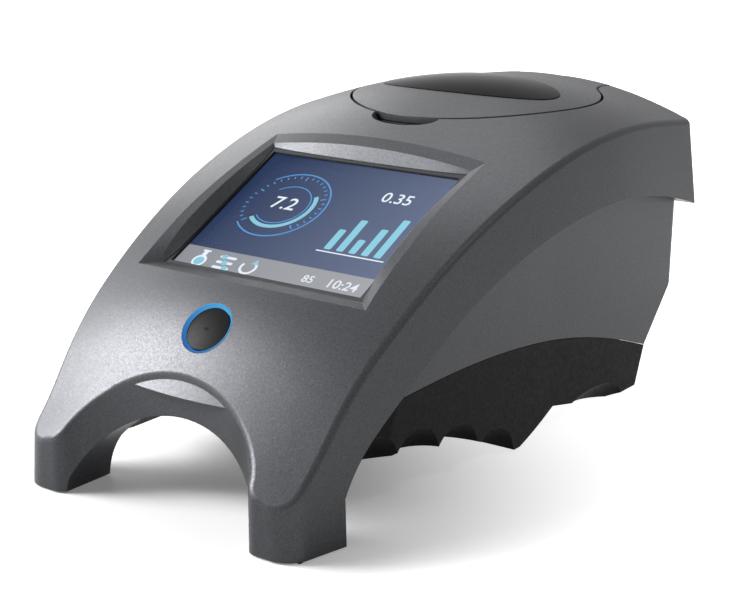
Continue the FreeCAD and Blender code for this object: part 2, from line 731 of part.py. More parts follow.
def screen_opening():
    """Recess over the glass, with leaning walls and a bevel that follow the crowned deck."""
    across, along = WINDOW[0] / 2, WINDOW[1] / 2
    corners = [SCREEN_PLACE.multVec(vec(x, y, 0))
               for x, y in ((-across, -along), (across, -along), (across, along), (-across, along))]
    wall_top = recess_rim(WALL_HALF_WIDTH, WALL_AHEAD, WALL_BEHIND, 0, BEVEL_DROP)
    shelf = corners[0].z + SHELF_RISE
    wall_top[0] = [vec(point.x, point.y, shelf) for point in wall_top[0]]
    wall_top[1][0], wall_top[3][-1] = wall_top[0][-1], wall_top[0][0]
    edge = recess_rim(BEVEL_HALF_WIDTH, BEVEL_AHEAD, BEVEL_BEHIND, BEVEL_BULGE, ((-LENGTH, 0.0), (LENGTH, 0.0)))
    lid = [[vec(point.x, point.y, HEIGHT + BELOW) for point in side] for side in edge]
    base = [Part.LineSegment(a, b).toShape() for a, b in zip(corners, corners[1:] + corners[:1])]
    rims = [Part.Wire(base)] + [Part.Wire([curve_through(side) for side in rim]) for rim in (wall_top, edge, lid)]
    return Part.makeLoft(rims, True, True)


def button_seat():
    """Thickened deck round the button and the posts of its board."""
    pad = in_button(rod(RING_OUTER + 2 * RING_FLANGE + 2, 3 * BUTTON_SEAT, vec(0, 0, -BUTTON_SEAT)))
    parts = [pad.common(DECK_MIDDLE)]
    for x in (-BUTTON_POST_SPREAD, BUTTON_POST_SPREAD):
        post = in_button(rod(POST_DIAMETER, HEIGHT / 2, vec(x, 0, -BUTTON_BOARD_DEPTH)))
        parts.append(post.common(DECK_MIDDLE))
    return parts


def lid_well():
    """Wall round the lid, the finger notch's block and the trough of the hinge."""
    low = SEAT_Z - FLANGE_THICKNESS - WELL_OVERLAP
    inside_rear = block(-OUT / 2, OUT / 2, FRONT, REAR - WALL / 2, 0, 2 * HEIGHT)
    wall = lid_outline(LID_GAP + WELL_WALL, low, 2 * HEIGHT).common(DECK_MIDDLE).common(inside_rear)
    front = LID_Y - LID_RADIUS - LID_GAP
    notch_block = block(-NOTCH_HALF_WIDTH - WELL_WALL, NOTCH_HALF_WIDTH + WELL_WALL,
                        front - NOTCH_RADIUS - WELL_WALL, LID_Y - LID_RADIUS / 2,
                        SEAT_Z - NOTCH_RADIUS, 2 * HEIGHT).common(DECK_MIDDLE)
    half = TAIL_HALF_WIDTH + LID_GAP + PIN_LUG
    trough = block(-half, half, TROUGH_Y, REAR - WALL / 2, TROUGH_Z, 2 * HEIGHT)
    return [wall, notch_block, trough.common(DECK_MIDDLE)]


def lid_cuts():
    """Opening for the lid, the notch and the pocket in which the hinge turns."""
    low = SEAT_Z - NOTCH_RADIUS - WALL
    upper = lid_outline(LID_GAP, SEAT_Z, 2 * HEIGHT)
    lower = lid_outline(LID_GAP, low, SEAT_Z + 1).common(
        block(-OUT / 2, OUT / 2, FRONT, TROUGH_Y, 0, 2 * HEIGHT))
    length = 2 * (TAIL_HALF_WIDTH + LID_GAP)
    pocket = rod(2 * (HINGE_RADIUS + HINGE_CLEARANCE), length, vec(-length / 2, PIN_Y, PIN_Z), vec(1, 0, 0))
    pin_length = length + 2 * (PIN_LUG - RIB)
    pin = rod(PIN_DIAMETER + 2 * PIN_CLEARANCE, pin_length, vec(-pin_length / 2, PIN_Y, PIN_Z), vec(1, 0, 0))
    return [upper, lower, pocket, pin, notch_scoop()]


def notch_scoop():
    """Finger notch in front of the lid."""
    oval = Part.Ellipse(vec(0, 0, 0), NOTCH_HALF_WIDTH, NOTCH_RADIUS).toShape(0, math.pi)
    chord = Part.LineSegment(oval.Vertexes[-1].Point, oval.Vertexes[0].Point).toShape()
    scoop = Part.Face(Part.Wire([oval, chord])).revolve(vec(0, 0, 0), vec(1, 0, 0), 360)
    y = LID_Y - LID_RADIUS
    scoop.translate(vec(0, y, deck_z(0, y) + NOTCH_RISE))
    return scoop


def case_bosses_of_top():
    parts = []
    for x, distance, low in case_places():
        y = at(distance)
        if distance == FRONT_CASE_SCREW[1]:
            parts.append(top_boss(x, y, low))
            continue
        wall = math.copysign(BODY_HALF_REAR, x)
        rib = block(min(x, wall), max(x, wall), y - RIB / 2, y + RIB / 2, low + RIB, low + SIDE_BOSS_HEIGHT)
        parts.append(rod(BOSS_DIAMETER, SIDE_BOSS_HEIGHT, vec(x, y, low)))
        parts.append(rib.common(body_block(WALL / 2)))
    return parts


def tray_boss_places():
    return [(x, LID_Y + y) for x in (-EAR_REACH, EAR_REACH) for y in (-EAR_SPREAD, EAR_SPREAD)]


def socket_bosses():
    """Bosses on the rear wall that carry the socket's board."""
    length = REAR - WALL / 2 - BODY_REAR_GAP - SOCKET_BOARD_Y - 1
    return [rod(POST_DIAMETER, length, vec(x, SOCKET_BOARD_Y, SOCKET_BOARD_HEIGHT), vec(0, 1, 0))
            for x in (-SOCKET_BOSS_SPREAD, SOCKET_BOSS_SPREAD)]


def front_pad_block(grow, low, high):
    width, depth = FRONT_PAD_SIZE[0] + 2 * grow, FRONT_PAD_SIZE[1] + 2 * grow
    return both_sides(slab(width, depth, high - low, FRONT_PAD_PLACE[0], at(FRONT_PAD_PLACE[1]), low))


def rear_pad_block(grow, low, high):
    width, depth = REAR_PAD_SIZE[0] + 2 * grow, REAR_PAD_SIZE[1] + 2 * grow
    return both_sides(slab(width, depth, high - low, REAR_PAD_PLACE[0], at(REAR_PAD_PLACE[1]), low))


def make_top_housing():
    outer = flank_form().fuse(BODY.cut(below_seam())).cut(arch_tunnel())
    outer = outer.common(block(-OUT / 2, OUT / 2, FRONT - 1, REAR + 1, STAND_GAP, 2 * HEIGHT))
    shell = outer.cut(HOLLOW)
    inside = screen_frame() + button_seat() + lid_well() + case_bosses_of_top() + socket_bosses()
    inside += [top_boss(x, y, EAR_TOP) for x, y in tray_boss_places()]
    shell = shell.fuse(inside)
    socket_hole = slab(SOCKET_SIZE[0] + 2 * SOCKET_CLEARANCE, 4 * WALL, SOCKET_SIZE[2] + 2 * SOCKET_CLEARANCE,
                       0, REAR, SOCKET_BOARD_HEIGHT - SOCKET_SIZE[2] / 2 - SOCKET_CLEARANCE)
    button_hole = in_button(rod(RING_OUTER + 2 * STACK_GAP, HEIGHT, vec(0, 0, -HEIGHT / 4)))
    stack_seat = slab(GLASS_SIZE[0] + 2 * STACK_CLEARANCE, GLASS_SIZE[1] + 2 * STACK_CLEARANCE, SCREEN_DEPTH,
                      0, 0, GASKET_THICKNESS - SCREEN_DEPTH)
    cuts = lid_cuts() + [screen_opening(), in_screen(stack_seat), button_hole, socket_hole]
    cuts += [front_pad_block(0, 0, PAD_THICKNESS)]
    for x, distance, low in case_places():
        cuts.append(rod(SHANK, GRIP_LENGTH + 1, vec(x, at(distance), low)))
    for x, y in tray_boss_places():
        cuts.append(rod(SHANK, GRIP_LENGTH + 1, vec(x, y, EAR_TOP)))
    for x in (-SOCKET_BOSS_SPREAD, SOCKET_BOSS_SPREAD):
        cuts.append(rod(SHANK, GRIP_LENGTH, vec(x, SOCKET_BOARD_Y, SOCKET_BOARD_HEIGHT), vec(0, 1, 0)))
    for x in (-BUTTON_POST_SPREAD, BUTTON_POST_SPREAD):
        cuts.append(in_button(rod(SHANK, GRIP_LENGTH, vec(x, 0, -BUTTON_BOARD_DEPTH))))
    for x in (-SCREEN_SCREW[0], SCREEN_SCREW[0]):
        for y in (-SCREEN_SCREW[1], SCREEN_SCREW[1]):
            cuts.append(in_screen(rod(SHANK, GRIP_LENGTH, vec(x, y, BRACKET_TOP))))
    return shell.cut(cuts)


def floor_height(distance):
    """Height of the inner floor of the base, along its middle."""
    line = ((0.0, TUNNEL_FLOOR), (FLOOR_END, TUNNEL_FLOOR), THIRD_RIDGE, KEEL, HOLLOW_MIDDLE, THUMB_EDGE,
            (FOOT_FRONT, STAND_GAP), (LENGTH, STAND_GAP))
    return on_line(line, distance) + WALL


def base_post(x, distance, top, diameter=POST_DIAMETER):
    """Post that rises from inside the base's floor."""
    low = floor_height(distance) - WALL / 2
    return rod(diameter, top - low, vec(x, at(distance), low))


def board_holes():
    return [(x, MAIN_BOARD_MIDDLE + y) for x in (-MAIN_BOARD_HOLE[0], MAIN_BOARD_HOLE[0])
            for y in (-MAIN_BOARD_HOLE[1], MAIN_BOARD_HOLE[1])]


def make_base_grip():
    outer = BODY.common(below_seam(SEAM_GAP)).cut(flank_region(SEAM_GAP, -SEAM_GAP))
    shell = outer.cut(HOLLOW)
    inside = [base_post(x, distance, MAIN_BOARD_HEIGHT) for x, distance in board_holes()]
    inside += [base_post(x, distance, low, BOSS_DIAMETER) for x, distance, low in case_places()]
    inside += [base_post(0, distance, STRAP_SEAT) for distance in STRAP_SCREWS]
    for x in (-CELL_LENGTH / 3, CELL_LENGTH / 3):
        ribs = block(x - RIB / 2, x + RIB / 2, at(PACK_MIDDLE - CELL_DIAMETER / 2),
                     at(PACK_MIDDLE + CELL_DIAMETER / 2), 0, PACK_FLOOR)
        inside.append(ribs.common(body_profile(WALL / 2)))
    shell = shell.fuse(inside)
    cuts = scoops() + edge_relief() + [rear_pad_block(0, 0, PAD_THICKNESS)]
    for x, distance, low in case_places():
        seat = low - CASE_SEAT_DEPTH
        cuts.append(rod(HEAD + 2 * SCREW_CLEARANCE, seat, vec(x, at(distance), 0)))
        cuts.append(rod(SHANK + 2 * SCREW_CLEARANCE, HEIGHT, vec(x, at(distance), seat - 1)))
    cuts += [rod(SHANK, GRIP_LENGTH, vec(x, at(distance), MAIN_BOARD_HEIGHT - GRIP_LENGTH))
             for x, distance in board_holes()]
    cuts += [rod(SHANK, GRIP_LENGTH, vec(0, at(distance), STRAP_SEAT - GRIP_LENGTH)) for distance in STRAP_SCREWS]
    return shell.cut(cuts)


def make_case_screws():
    screws = [screw(vec(x, at(distance), low - CASE_SEAT_DEPTH), (0, 0, 1), CASE_SEAT_DEPTH + GRIP_LENGTH)
              for x, distance, low in case_places()]
    return Part.makeCompound(screws)


def rounded_slab(width, depth, thickness, corner, z):
    plate = slab(width, depth, thickness, 0, 0, z)
    upright = [edge for edge in plate.Edges if abs(edge.Vertexes[0].Z - edge.Vertexes[1].Z) > thickness / 2]
    return plate.makeFillet(corner, upright)


def make_touch_glass():
    return in_screen(rounded_slab(GLASS_SIZE[0], GLASS_SIZE[1], GLASS_THICKNESS, 1.5, -GLASS_THICKNESS))


def make_screen_gasket():
    ring = rounded_slab(GLASS_SIZE[0], GLASS_SIZE[1], GASKET_THICKNESS, 1.5, 0)
    return in_screen(ring.cut(slab(WINDOW[0], WINDOW[1], 2, 0, 0, 0)))


def make_lcd_module():
    can = slab(LCD_SIZE[0], LCD_SIZE[1], LCD_THICKNESS, 0, 0, LCD_TOP - LCD_THICKNESS)
    return in_screen(can)


def make_screen_bracket():
    width, depth = 2 * (SCREEN_SCREW[0] + BOSS_DIAMETER / 2), LCD_SIZE[1] + 2
    low = BRACKET_TOP - BRACKET_THICKNESS
    plate = rounded_slab(width, depth, BRACKET_THICKNESS, 3, low)
    opening = slab(LCD_SIZE[0] - 2 * BRACKET_MARGIN, LCD_SIZE[1] - 2 * BRACKET_MARGIN, 2, 0, 0, low)
    plate = plate.cut(opening)
    for x in (-SCREEN_SCREW[0], SCREEN_SCREW[0]):
        for y in (-SCREEN_SCREW[1], SCREEN_SCREW[1]):
            plate = plate.cut(rod(SHANK + 2 * SCREW_CLEARANCE, 4, vec(x, y, low - 1)))
    return in_screen(plate)


def make_bracket_screws():
    low = BRACKET_TOP - BRACKET_THICKNESS
    return Part.makeCompound([
        in_screen(screw(vec(x, y, low), (0, 0, 1), BRACKET_THICKNESS + GRIP_LENGTH - 1))
        for x in (-SCREEN_SCREW[0], SCREEN_SCREW[0]) for y in (-SCREEN_SCREW[1], SCREEN_SCREW[1])])


def revolved(points, axis_point=None):
    """Solid of revolution about Z from points of radius and height."""
    outline = Part.makePolygon([vec(r, 0, z) for r, z in points + points[:1]])
    solid = Part.Face(outline).revolve(vec(0, 0, 0), vec(0, 0, 1), 360)
    if axis_point:
        solid.translate(axis_point)
    return solid


def make_power_button():
    radius = BUTTON_DIAMETER / 2
    flange = RING_BOTTOM - BUTTON_CLEARANCE
    end = flange - BUTTON_FLANGE_LENGTH
    top = BUTTON_DOME - BUTTON_SINK
    sphere = (radius ** 2 + BUTTON_DOME ** 2) / (2 * BUTTON_DOME)
    halfway = math.sqrt(sphere ** 2 - radius ** 2 / 4) - sphere + top
    dome = Part.Arc(vec(radius, 0, -BUTTON_SINK), vec(radius / 2, 0, halfway), vec(0, 0, top)).toShape()
    corners = [vec(0, 0, top), vec(0, 0, STEM_END), vec(STEM_DIAMETER / 2, 0, STEM_END),
               vec(STEM_DIAMETER / 2, 0, end), vec(RING_OUTER / 2, 0, end), vec(RING_OUTER / 2, 0, flange),
               vec(radius, 0, flange), vec(radius, 0, -BUTTON_SINK)]
    sides = [Part.LineSegment(a, b).toShape() for a, b in zip(corners, corners[1:])]
    cap = Part.Face(Part.Wire([dome] + sides)).revolve(vec(0, 0, 0), vec(0, 0, 1), 360)
    return in_button(cap)


def make_button_light_ring():
    inner = BUTTON_DIAMETER / 2 + BUTTON_CLEARANCE
    outer = RING_OUTER / 2
    wide = outer + RING_FLANGE
    ring = revolved([(inner, RING_BOTTOM), (wide, RING_BOTTOM), (wide, -BUTTON_SEAT), (outer, -BUTTON_SEAT),
                     (outer, 0), (outer - RING_LIP, 0), (inner, -BUTTON_SINK)])
    return in_button(ring)


def make_button_board():
    low = -BUTTON_BOARD_DEPTH - BOARD_THICKNESS
    board = slab(BUTTON_BOARD[0], BUTTON_BOARD[1], BOARD_THICKNESS, 0, 0, low)
    for x in (-BUTTON_POST_SPREAD, BUTTON_POST_SPREAD):
        board = board.cut(rod(SHANK + 2 * SCREW_CLEARANCE, 4, vec(x, 0, low - 1)))
    return in_button(board)


def make_button_switch():
    body = slab(SWITCH_SIZE, SWITCH_SIZE, SWITCH_HEIGHT, 0, 0, -BUTTON_BOARD_DEPTH)
    plunger = rod(PLUNGER_DIAMETER, PLUNGER_HEIGHT, vec(0, 0, SWITCH_HEIGHT - BUTTON_BOARD_DEPTH))
    return in_button(body.fuse(plunger))


def make_button_board_screws():
    low = -BUTTON_BOARD_DEPTH - BOARD_THICKNESS
    return Part.makeCompound([in_button(screw(vec(x, 0, low), (0, 0, 1), BOARD_THICKNESS + GRIP_LENGTH - 1))
                              for x in (-BUTTON_POST_SPREAD, BUTTON_POST_SPREAD)])


def liner_screw_places():
    return [(LINER_SCREW_REACH * math.sin(a), LID_Y + LINER_SCREW_REACH * math.cos(a))
            for a in (math.radians(k * 120) for k in range(3))]


def badge_block(grow, low):
    oval = Part.Ellipse(vec(0, at(BADGE_FROM_FRONT), low), BADGE_HALF[0] + grow, BADGE_HALF[1] + grow).toShape()
    return Part.Face(Part.Wire(oval)).extrude(vec(0, 0, HEIGHT))


def make_lid_shell():
    form = DECK.common(lid_outline(0, LID_BOTTOM, 2 * HEIGHT))
    ahead = block(-OUT / 2, OUT / 2, FRONT, PIN_Y, 0, 2 * HEIGHT)
    length = 2 * TAIL_HALF_WIDTH
    barrel = rod(2 * HINGE_RADIUS, length, vec(-length / 2, PIN_Y, PIN_Z), vec(1, 0, 0)).common(DECK)
    hollow = DECK_UNDER_LID.common(lid_outline(-LID_SKIRT, LID_BOTTOM - 1, 2 * HEIGHT))
    hollow = hollow.common(block(-OUT / 2, OUT / 2, FRONT, PIN_Y - HINGE_RADIUS - LID_SKIRT, 0, 2 * HEIGHT))
    shell = form.common(ahead).cut(hollow).fuse(barrel)
    posts = [rod(POST_DIAMETER, HEIGHT, vec(x, y, LINER_TOP)).common(DECK_IN_LID) for x, y in liner_screw_places()]
    shell = shell.fuse(posts)
    cuts = [rod(SHANK, 2.0, vec(x, y, LINER_TOP)) for x, y in liner_screw_places()]
    cuts.append(rod(PIN_DIAMETER + 2 * PIN_CLEARANCE, OUT, vec(-OUT / 2, PIN_Y, PIN_Z), vec(1, 0, 0)))
    cuts.append(badge_block(STACK_GAP, SEAT_Z).cut(deck_form(BADGE_DEPTH)))
    return shell.cut(cuts)


def make_lid_badge():
    return badge_block(0, SEAT_Z).common(deck_form(-BADGE_PROUD)).cut(deck_form(BADGE_DEPTH))


def magnet_places():
    return [(-MAGNET_REACH, LID_Y), (MAGNET_REACH, LID_Y)]


def optics_opening(grow, low, high):
    return slab(OPTICS_WINDOW[0] + 2 * grow, OPTICS_WINDOW[1] + 2 * grow, high - low, OPTICS_X, LID_Y, low)


def make_lid_liner():
    radius = LID_RADIUS - LID_SKIRT - LINER_CLEARANCE
    plate = rod(2 * radius, LINER_THICKNESS, vec(0, LID_Y, LID_BOTTOM))
    rear = PIN_Y - HINGE_RADIUS - LID_SKIRT - LINER_CLEARANCE
    plate = plate.common(DECK_OVER_LINER).common(block(-OUT / 2, OUT / 2, FRONT, rear, 0, HEIGHT))
    cuts = [optics_opening(0, LID_BOTTOM, LINER_TOP),
            optics_opening(WINDOW_MARGIN, LID_BOTTOM, LID_BOTTOM + LID_WINDOW_THICKNESS)]
    cuts += [rod(MAGNET_DIAMETER, MAGNET_THICKNESS, vec(x, y, LID_BOTTOM)) for x, y in magnet_places()]
    for x, y in liner_screw_places():
        cuts.append(rod(SHANK + 2 * SCREW_CLEARANCE, LINER_THICKNESS, vec(x, y, LID_BOTTOM)))
        cuts.append(rod(HEAD + 2 * SCREW_CLEARANCE, LINER_SINK, vec(x, y, LID_BOTTOM)))
    return plate.cut(cuts)


def make_lid_liner_screws():
    length = LINER_THICKNESS - LINER_SINK + 1.5
    return Part.makeCompound([screw(vec(x, y, LID_BOTTOM + LINER_SINK), (0, 0, 1), length, LINER_SINK - 0.1)
                              for x, y in liner_screw_places()])


def make_lid_window():
    return optics_opening(WINDOW_MARGIN - STACK_GAP, LID_BOTTOM, LID_BOTTOM + LID_WINDOW_THICKNESS)


def lamp_places():
    first = -(LAMP_COUNT - 1) / 2
    return [(OPTICS_X, LID_Y + (first + k) * LAMP_PITCH) for k in range(LAMP_COUNT)]


def make_detector_board():
    board = slab(DETECTOR_BOARD[0], DETECTOR_BOARD[1], 1.0, OPTICS_X, LID_Y, LINER_TOP)
    diodes = [slab(LAMP_DIAMETER, LAMP_DIAMETER, 0.8, x, y, LINER_TOP - 0.8) for x, y in lamp_places()]
    return board.fuse(diodes)


def make_lid_magnets():
    return Part.makeCompound([rod(MAGNET_DIAMETER, MAGNET_THICKNESS, vec(x, y, LID_BOTTOM))
                              for x, y in magnet_places()])


def make_catch_plates():
    return Part.makeCompound([rod(MAGNET_DIAMETER, CATCH_THICKNESS, vec(x, y, SEAT_Z - CATCH_THICKNESS))
                              for x, y in magnet_places()])


def make_hinge_pin():
    length = 2 * (TAIL_HALF_WIDTH + LID_GAP + PIN_LUG - RIB)
    return rod(PIN_DIAMETER, length, vec(-length / 2, PIN_Y, PIN_Z), vec(1, 0, 0))


def tray_holes():
    plate = [(x, LID_Y + y) for x in (-PLATE_SCREW[0], PLATE_SCREW[0]) for y in (-PLATE_SCREW[1], PLATE_SCREW[1])]
    leds = [(OPTICS_X, LID_Y + y) for y in (-LED_SCREW_SPREAD, LED_SCREW_SPREAD)]
    return plate, leds


def make_chamber_tray():
    outer = BOWL_RADIUS + BOWL_WALL
    rim = SEAT_Z - FLANGE_THICKNESS
    wall = tube(2 * outer, 2 * BOWL_RADIUS, SEAT_Z - FLOOR_UNDER, vec(0, LID_Y, FLOOR_UNDER))
    floor = rod(2 * outer, FLANGE_THICKNESS, vec(0, LID_Y, FLOOR_UNDER))
    flange = tube(2 * FLANGE_RADIUS, 2 * BOWL_RADIUS, FLANGE_THICKNESS, vec(0, LID_Y, rim))
    flange = flange.common(block(-OUT, OUT, FRONT, TROUGH_Y - FLANGE_CLEARANCE, 0, HEIGHT))
    tray = wall.fuse([floor, flange]).removeSplitter()
    inner_edges = [edge for edge in tray.Edges
                   if abs(edge.BoundBox.ZMax - BOWL_FLOOR) < 0.01 and abs(edge.BoundBox.XLength - 2 * BOWL_RADIUS) < 0.1]
    tray = tray.makeFillet(BOWL_CORNER, inner_edges)
    parts = []
    for x, y in tray_boss_places():
        side = math.copysign(1, x)
        inner = side * math.sqrt((BOWL_RADIUS + BOWL_WALL / 2) ** 2 - EAR_SPREAD ** 2)
        arm = block(min(inner, x), max(inner, x), y - BOSS_DIAMETER / 2, y + BOSS_DIAMETER / 2,
                    EAR_TOP - EAR_THICKNESS, EAR_TOP)
        ear = arm.fuse(rod(BOSS_DIAMETER, EAR_THICKNESS, vec(x, y, EAR_TOP - EAR_THICKNESS)))
        parts.append(ear.cut(rod(2 * BOWL_RADIUS, HEIGHT, vec(0, LID_Y, 0))))
    plate, leds = tray_holes()
    parts += [rod(POST_DIAMETER, FLOOR_BOSS, vec(x, y, PLATE_TOP)) for x, y in plate]
    parts += [rod(LED_POST, OPTICS_BLOCK[2], vec(x, y, FLOOR_UNDER - OPTICS_BLOCK[2])) for x, y in leds]
    tray = tray.fuse(parts)
    cuts = [rod(HUB_COLLAR_DIAMETER - 3, HEIGHT, vec(0, LID_Y, FLOOR_UNDER - 1)),
            optics_opening(0, FLOOR_UNDER - 1, BOWL_FLOOR + 1),
            optics_opening(WINDOW_MARGIN, BOWL_FLOOR - WINDOW_THICKNESS, BOWL_FLOOR + 1),
            tube(2 * SEAL_OUTER, 2 * (SEAL_OUTER - SEAL_WIDTH), SEAL_THICKNESS, vec(0, LID_Y, SEAT_Z - SEAL_THICKNESS + SEAL_PROUD))]
    cuts += [rod(MAGNET_DIAMETER, CATCH_THICKNESS, vec(x, y, SEAT_Z - CATCH_THICKNESS)) for x, y in magnet_places()]
    cuts += [rod(SHANK + 2 * SCREW_CLEARANCE, HEIGHT / 4, vec(x, y, EAR_TOP - EAR_THICKNESS - 1))
             for x, y in tray_boss_places()]
    cuts += [rod(SHANK, GRIP_LENGTH, vec(x, y, PLATE_TOP)) for x, y in plate]
    cuts += [rod(SHANK, GRIP_LENGTH, vec(x, y, FLOOR_UNDER - OPTICS_BLOCK[2])) for x, y in leds]
    return tray.cut(cuts)


def make_lid_seal():
    ring = tube(2 * SEAL_OUTER, 2 * (SEAL_OUTER - SEAL_WIDTH), SEAL_THICKNESS,
                vec(0, LID_Y, SEAT_Z - SEAL_THICKNESS + SEAL_PROUD))
    return ring.common(block(-OUT, OUT, FRONT, TROUGH_Y - FLANGE_CLEARANCE, 0, HEIGHT))


def make_tray_screws():
    return Part.makeCompound([screw(vec(x, y, EAR_TOP - EAR_THICKNESS), (0, 0, 1), EAR_THICKNESS + GRIP_LENGTH)
                              for x, y in tray_boss_places()])


def make_motor_plate():
    width, depth, thickness = MOTOR_PLATE
    plate = slab(width, depth, thickness, 0, LID_Y, PLATE_TOP - thickness)
    cuts = [rod(PILOT_DIAMETER + 2 * STACK_GAP, 4 * thickness, vec(0, LID_Y, PLATE_TOP - 2 * thickness))]
    cuts += [rod(SHANK + 2 * SCREW_CLEARANCE, 4 * thickness, vec(x, y, PLATE_TOP - 2 * thickness))
             for x, y in tray_holes()[0] + motor_screw_places()]
    return plate.cut(cuts)


def motor_screw_places():
    return [(MOTOR_SCREW_CIRCLE * math.cos(a), LID_Y + MOTOR_SCREW_CIRCLE * math.sin(a))
            for a in (math.radians(90 + k * 120) for k in range(3))]


def make_motor_plate_screws():
    low = PLATE_TOP - MOTOR_PLATE[2]
    return Part.makeCompound([screw(vec(x, y, low), (0, 0, 1), MOTOR_PLATE[2] + GRIP_LENGTH - 1)
                              for x, y in tray_holes()[0]])


def make_motor():
    top = PLATE_TOP - MOTOR_PLATE[2]
    can = rod(MOTOR_DIAMETER, MOTOR_LENGTH, vec(0, LID_Y, top - MOTOR_LENGTH))
    can = can.makeFillet(1.5, [edge for edge in can.Edges if abs(edge.BoundBox.ZMax - top + MOTOR_LENGTH) < 0.01])
    pilot = rod(PILOT_DIAMETER, MOTOR_PLATE[2], vec(0, LID_Y, top))
    bore = rod(SHAFT_DIAMETER + 2 * SHAFT_CLEARANCE, SHAFT_BELOW + HEIGHT / 8, vec(0, LID_Y, top - SHAFT_BELOW - 0.5))
    cuts = [bore] + [rod(SHANK, GRIP_LENGTH, vec(x, y, top - GRIP_LENGTH)) for x, y in motor_screw_places()]
    return can.fuse(pilot).cut(cuts)


def make_motor_screws():
    return Part.makeCompound([screw(vec(x, y, PLATE_TOP), (0, 0, -1), MOTOR_PLATE[2] + GRIP_LENGTH - 1)
                              for x, y in motor_screw_places()])


def make_motor_shaft():
    low = PLATE_TOP - MOTOR_PLATE[2] - SHAFT_BELOW
    return rod(SHAFT_DIAMETER, HUB_SEAT_TOP - low, vec(0, LID_Y, low))


def make_disc_hub():
    collar, seat, spigot = HUB_COLLAR_DIAMETER / 2, HUB_SEAT_DIAMETER / 2, HUB_SPIGOT_DIAMETER / 2
    low = BOWL_FLOOR + 1.0
    under = HUB_SEAT_TOP - HUB_SEAT_THICKNESS
    top = HUB_SEAT_TOP + HUB_SPIGOT_HEIGHT
    body = revolved([(0, low), (collar, low), (collar, under - 1.5), (collar + 1.5, under), (seat, under),
                     (seat, HUB_SEAT_TOP), (spigot, HUB_SEAT_TOP), (spigot, top - 1.2), (spigot - 1.2, top),
                     (0, top)], vec(0, LID_Y, 0))
    keys = []
    for k in range(HUB_KEYS):
        a = 2 * math.pi * k / HUB_KEYS
        place = vec(HUB_KEY_CIRCLE * math.cos(a), LID_Y + HUB_KEY_CIRCLE * math.sin(a), HUB_SEAT_TOP - 0.5)
        keys.append(rod(HUB_KEY_DIAMETER, HUB_KEY_HEIGHT + 0.5, place))
    bore = rod(SHAFT_DIAMETER, HUB_SEAT_TOP - low + 1, vec(0, LID_Y, low - 1))
    return body.fuse(keys).cut(bore)


def make_optics_block():
    width, depth, height = OPTICS_BLOCK
    body = slab(width, depth, height, OPTICS_X, LID_Y, FLOOR_UNDER - height)
    bores = [rod(LAMP_DIAMETER + 2 * STACK_GAP, height, vec(x, y, FLOOR_UNDER - height)) for x, y in lamp_places()]
    return body.cut(bores)


def make_floor_window():
    return optics_opening(WINDOW_MARGIN - STACK_GAP, BOWL_FLOOR - WINDOW_THICKNESS, BOWL_FLOOR)


def make_led_board():
    low = FLOOR_UNDER - OPTICS_BLOCK[2] - BOARD_THICKNESS
    board = slab(LED_BOARD[0], LED_BOARD[1], BOARD_THICKNESS, OPTICS_X, LID_Y, low)
    return board.cut([rod(SHANK + 2 * SCREW_CLEARANCE, 4, vec(x, y, low - 1)) for x, y in tray_holes()[1]])


def make_led_lamps():
    low = FLOOR_UNDER - OPTICS_BLOCK[2]
    lamps = []
    for x, y in lamp_places():
        stem = rod(LAMP_DIAMETER, 4.0, vec(x, y, low))
        lamps.append(stem.fuse(Part.makeSphere(LAMP_DIAMETER / 2, vec(x, y, low + 4.0))))
    return Part.makeCompound(lamps)


def make_led_board_screws():
    low = FLOOR_UNDER - OPTICS_BLOCK[2] - BOARD_THICKNESS
    return Part.makeCompound([screw(vec(x, y, low), (0, 0, 1), BOARD_THICKNESS + GRIP_LENGTH - 1)
                              for x, y in tray_holes()[1]])


def make_main_board():
    y = at(MAIN_BOARD_MIDDLE)
    board = slab(MAIN_BOARD[0], MAIN_BOARD[1], BOARD_THICKNESS, 0, y, MAIN_BOARD_HEIGHT)
    return board.cut([rod(SHANK + 2 * SCREW_CLEARANCE, 4, vec(x, at(distance), MAIN_BOARD_HEIGHT - 1))
                      for x, distance in board_holes()])


def make_board_components():
    y, top = at(MAIN_BOARD_MIDDLE), MAIN_BOARD_HEIGHT + BOARD_THICKNESS
    rows = ((12.0, 12.0, 1.2, 0.0, 4.0), (8.0, 8.0, 1.0, 20.0, 10.0), (18.0, 5.0, 3.0, -20.0, -30.0),
            (6.0, 14.0, 3.0, 30.0, -18.0), (10.0, 6.0, 2.0, -22.0, 14.0), (14.0, 4.0, 3.0, 12.0, 34.0))
    return Part.makeCompound([slab(width, depth, height, x, y + away, top) for width, depth, height, x, away in rows])


def make_main_board_screws():
    return Part.makeCompound([
        screw(vec(x, at(distance), MAIN_BOARD_HEIGHT + BOARD_THICKNESS), (0, 0, -1), BOARD_THICKNESS + GRIP_LENGTH - 1)
        for x, distance in board_holes()])


def make_battery_pack():
    radius = CELL_DIAMETER / 2 + PACK_SKIN
    x = -CELL_LENGTH / 2 - PACK_SKIN
    length = CELL_LENGTH + 2 * PACK_SKIN
    middle = PACK_FLOOR + radius
    cells = [rod(2 * radius, length, vec(x, at(PACK_MIDDLE + side * PACK_PITCH / 2), middle), vec(1, 0, 0))
             for side in (-1, 1)]
    wrap = block(x, x + length, at(PACK_MIDDLE - PACK_PITCH / 2), at(PACK_MIDDLE + PACK_PITCH / 2),
                 PACK_FLOOR, PACK_FLOOR + 2 * radius)
    return wrap.fuse(cells).removeSplitter()


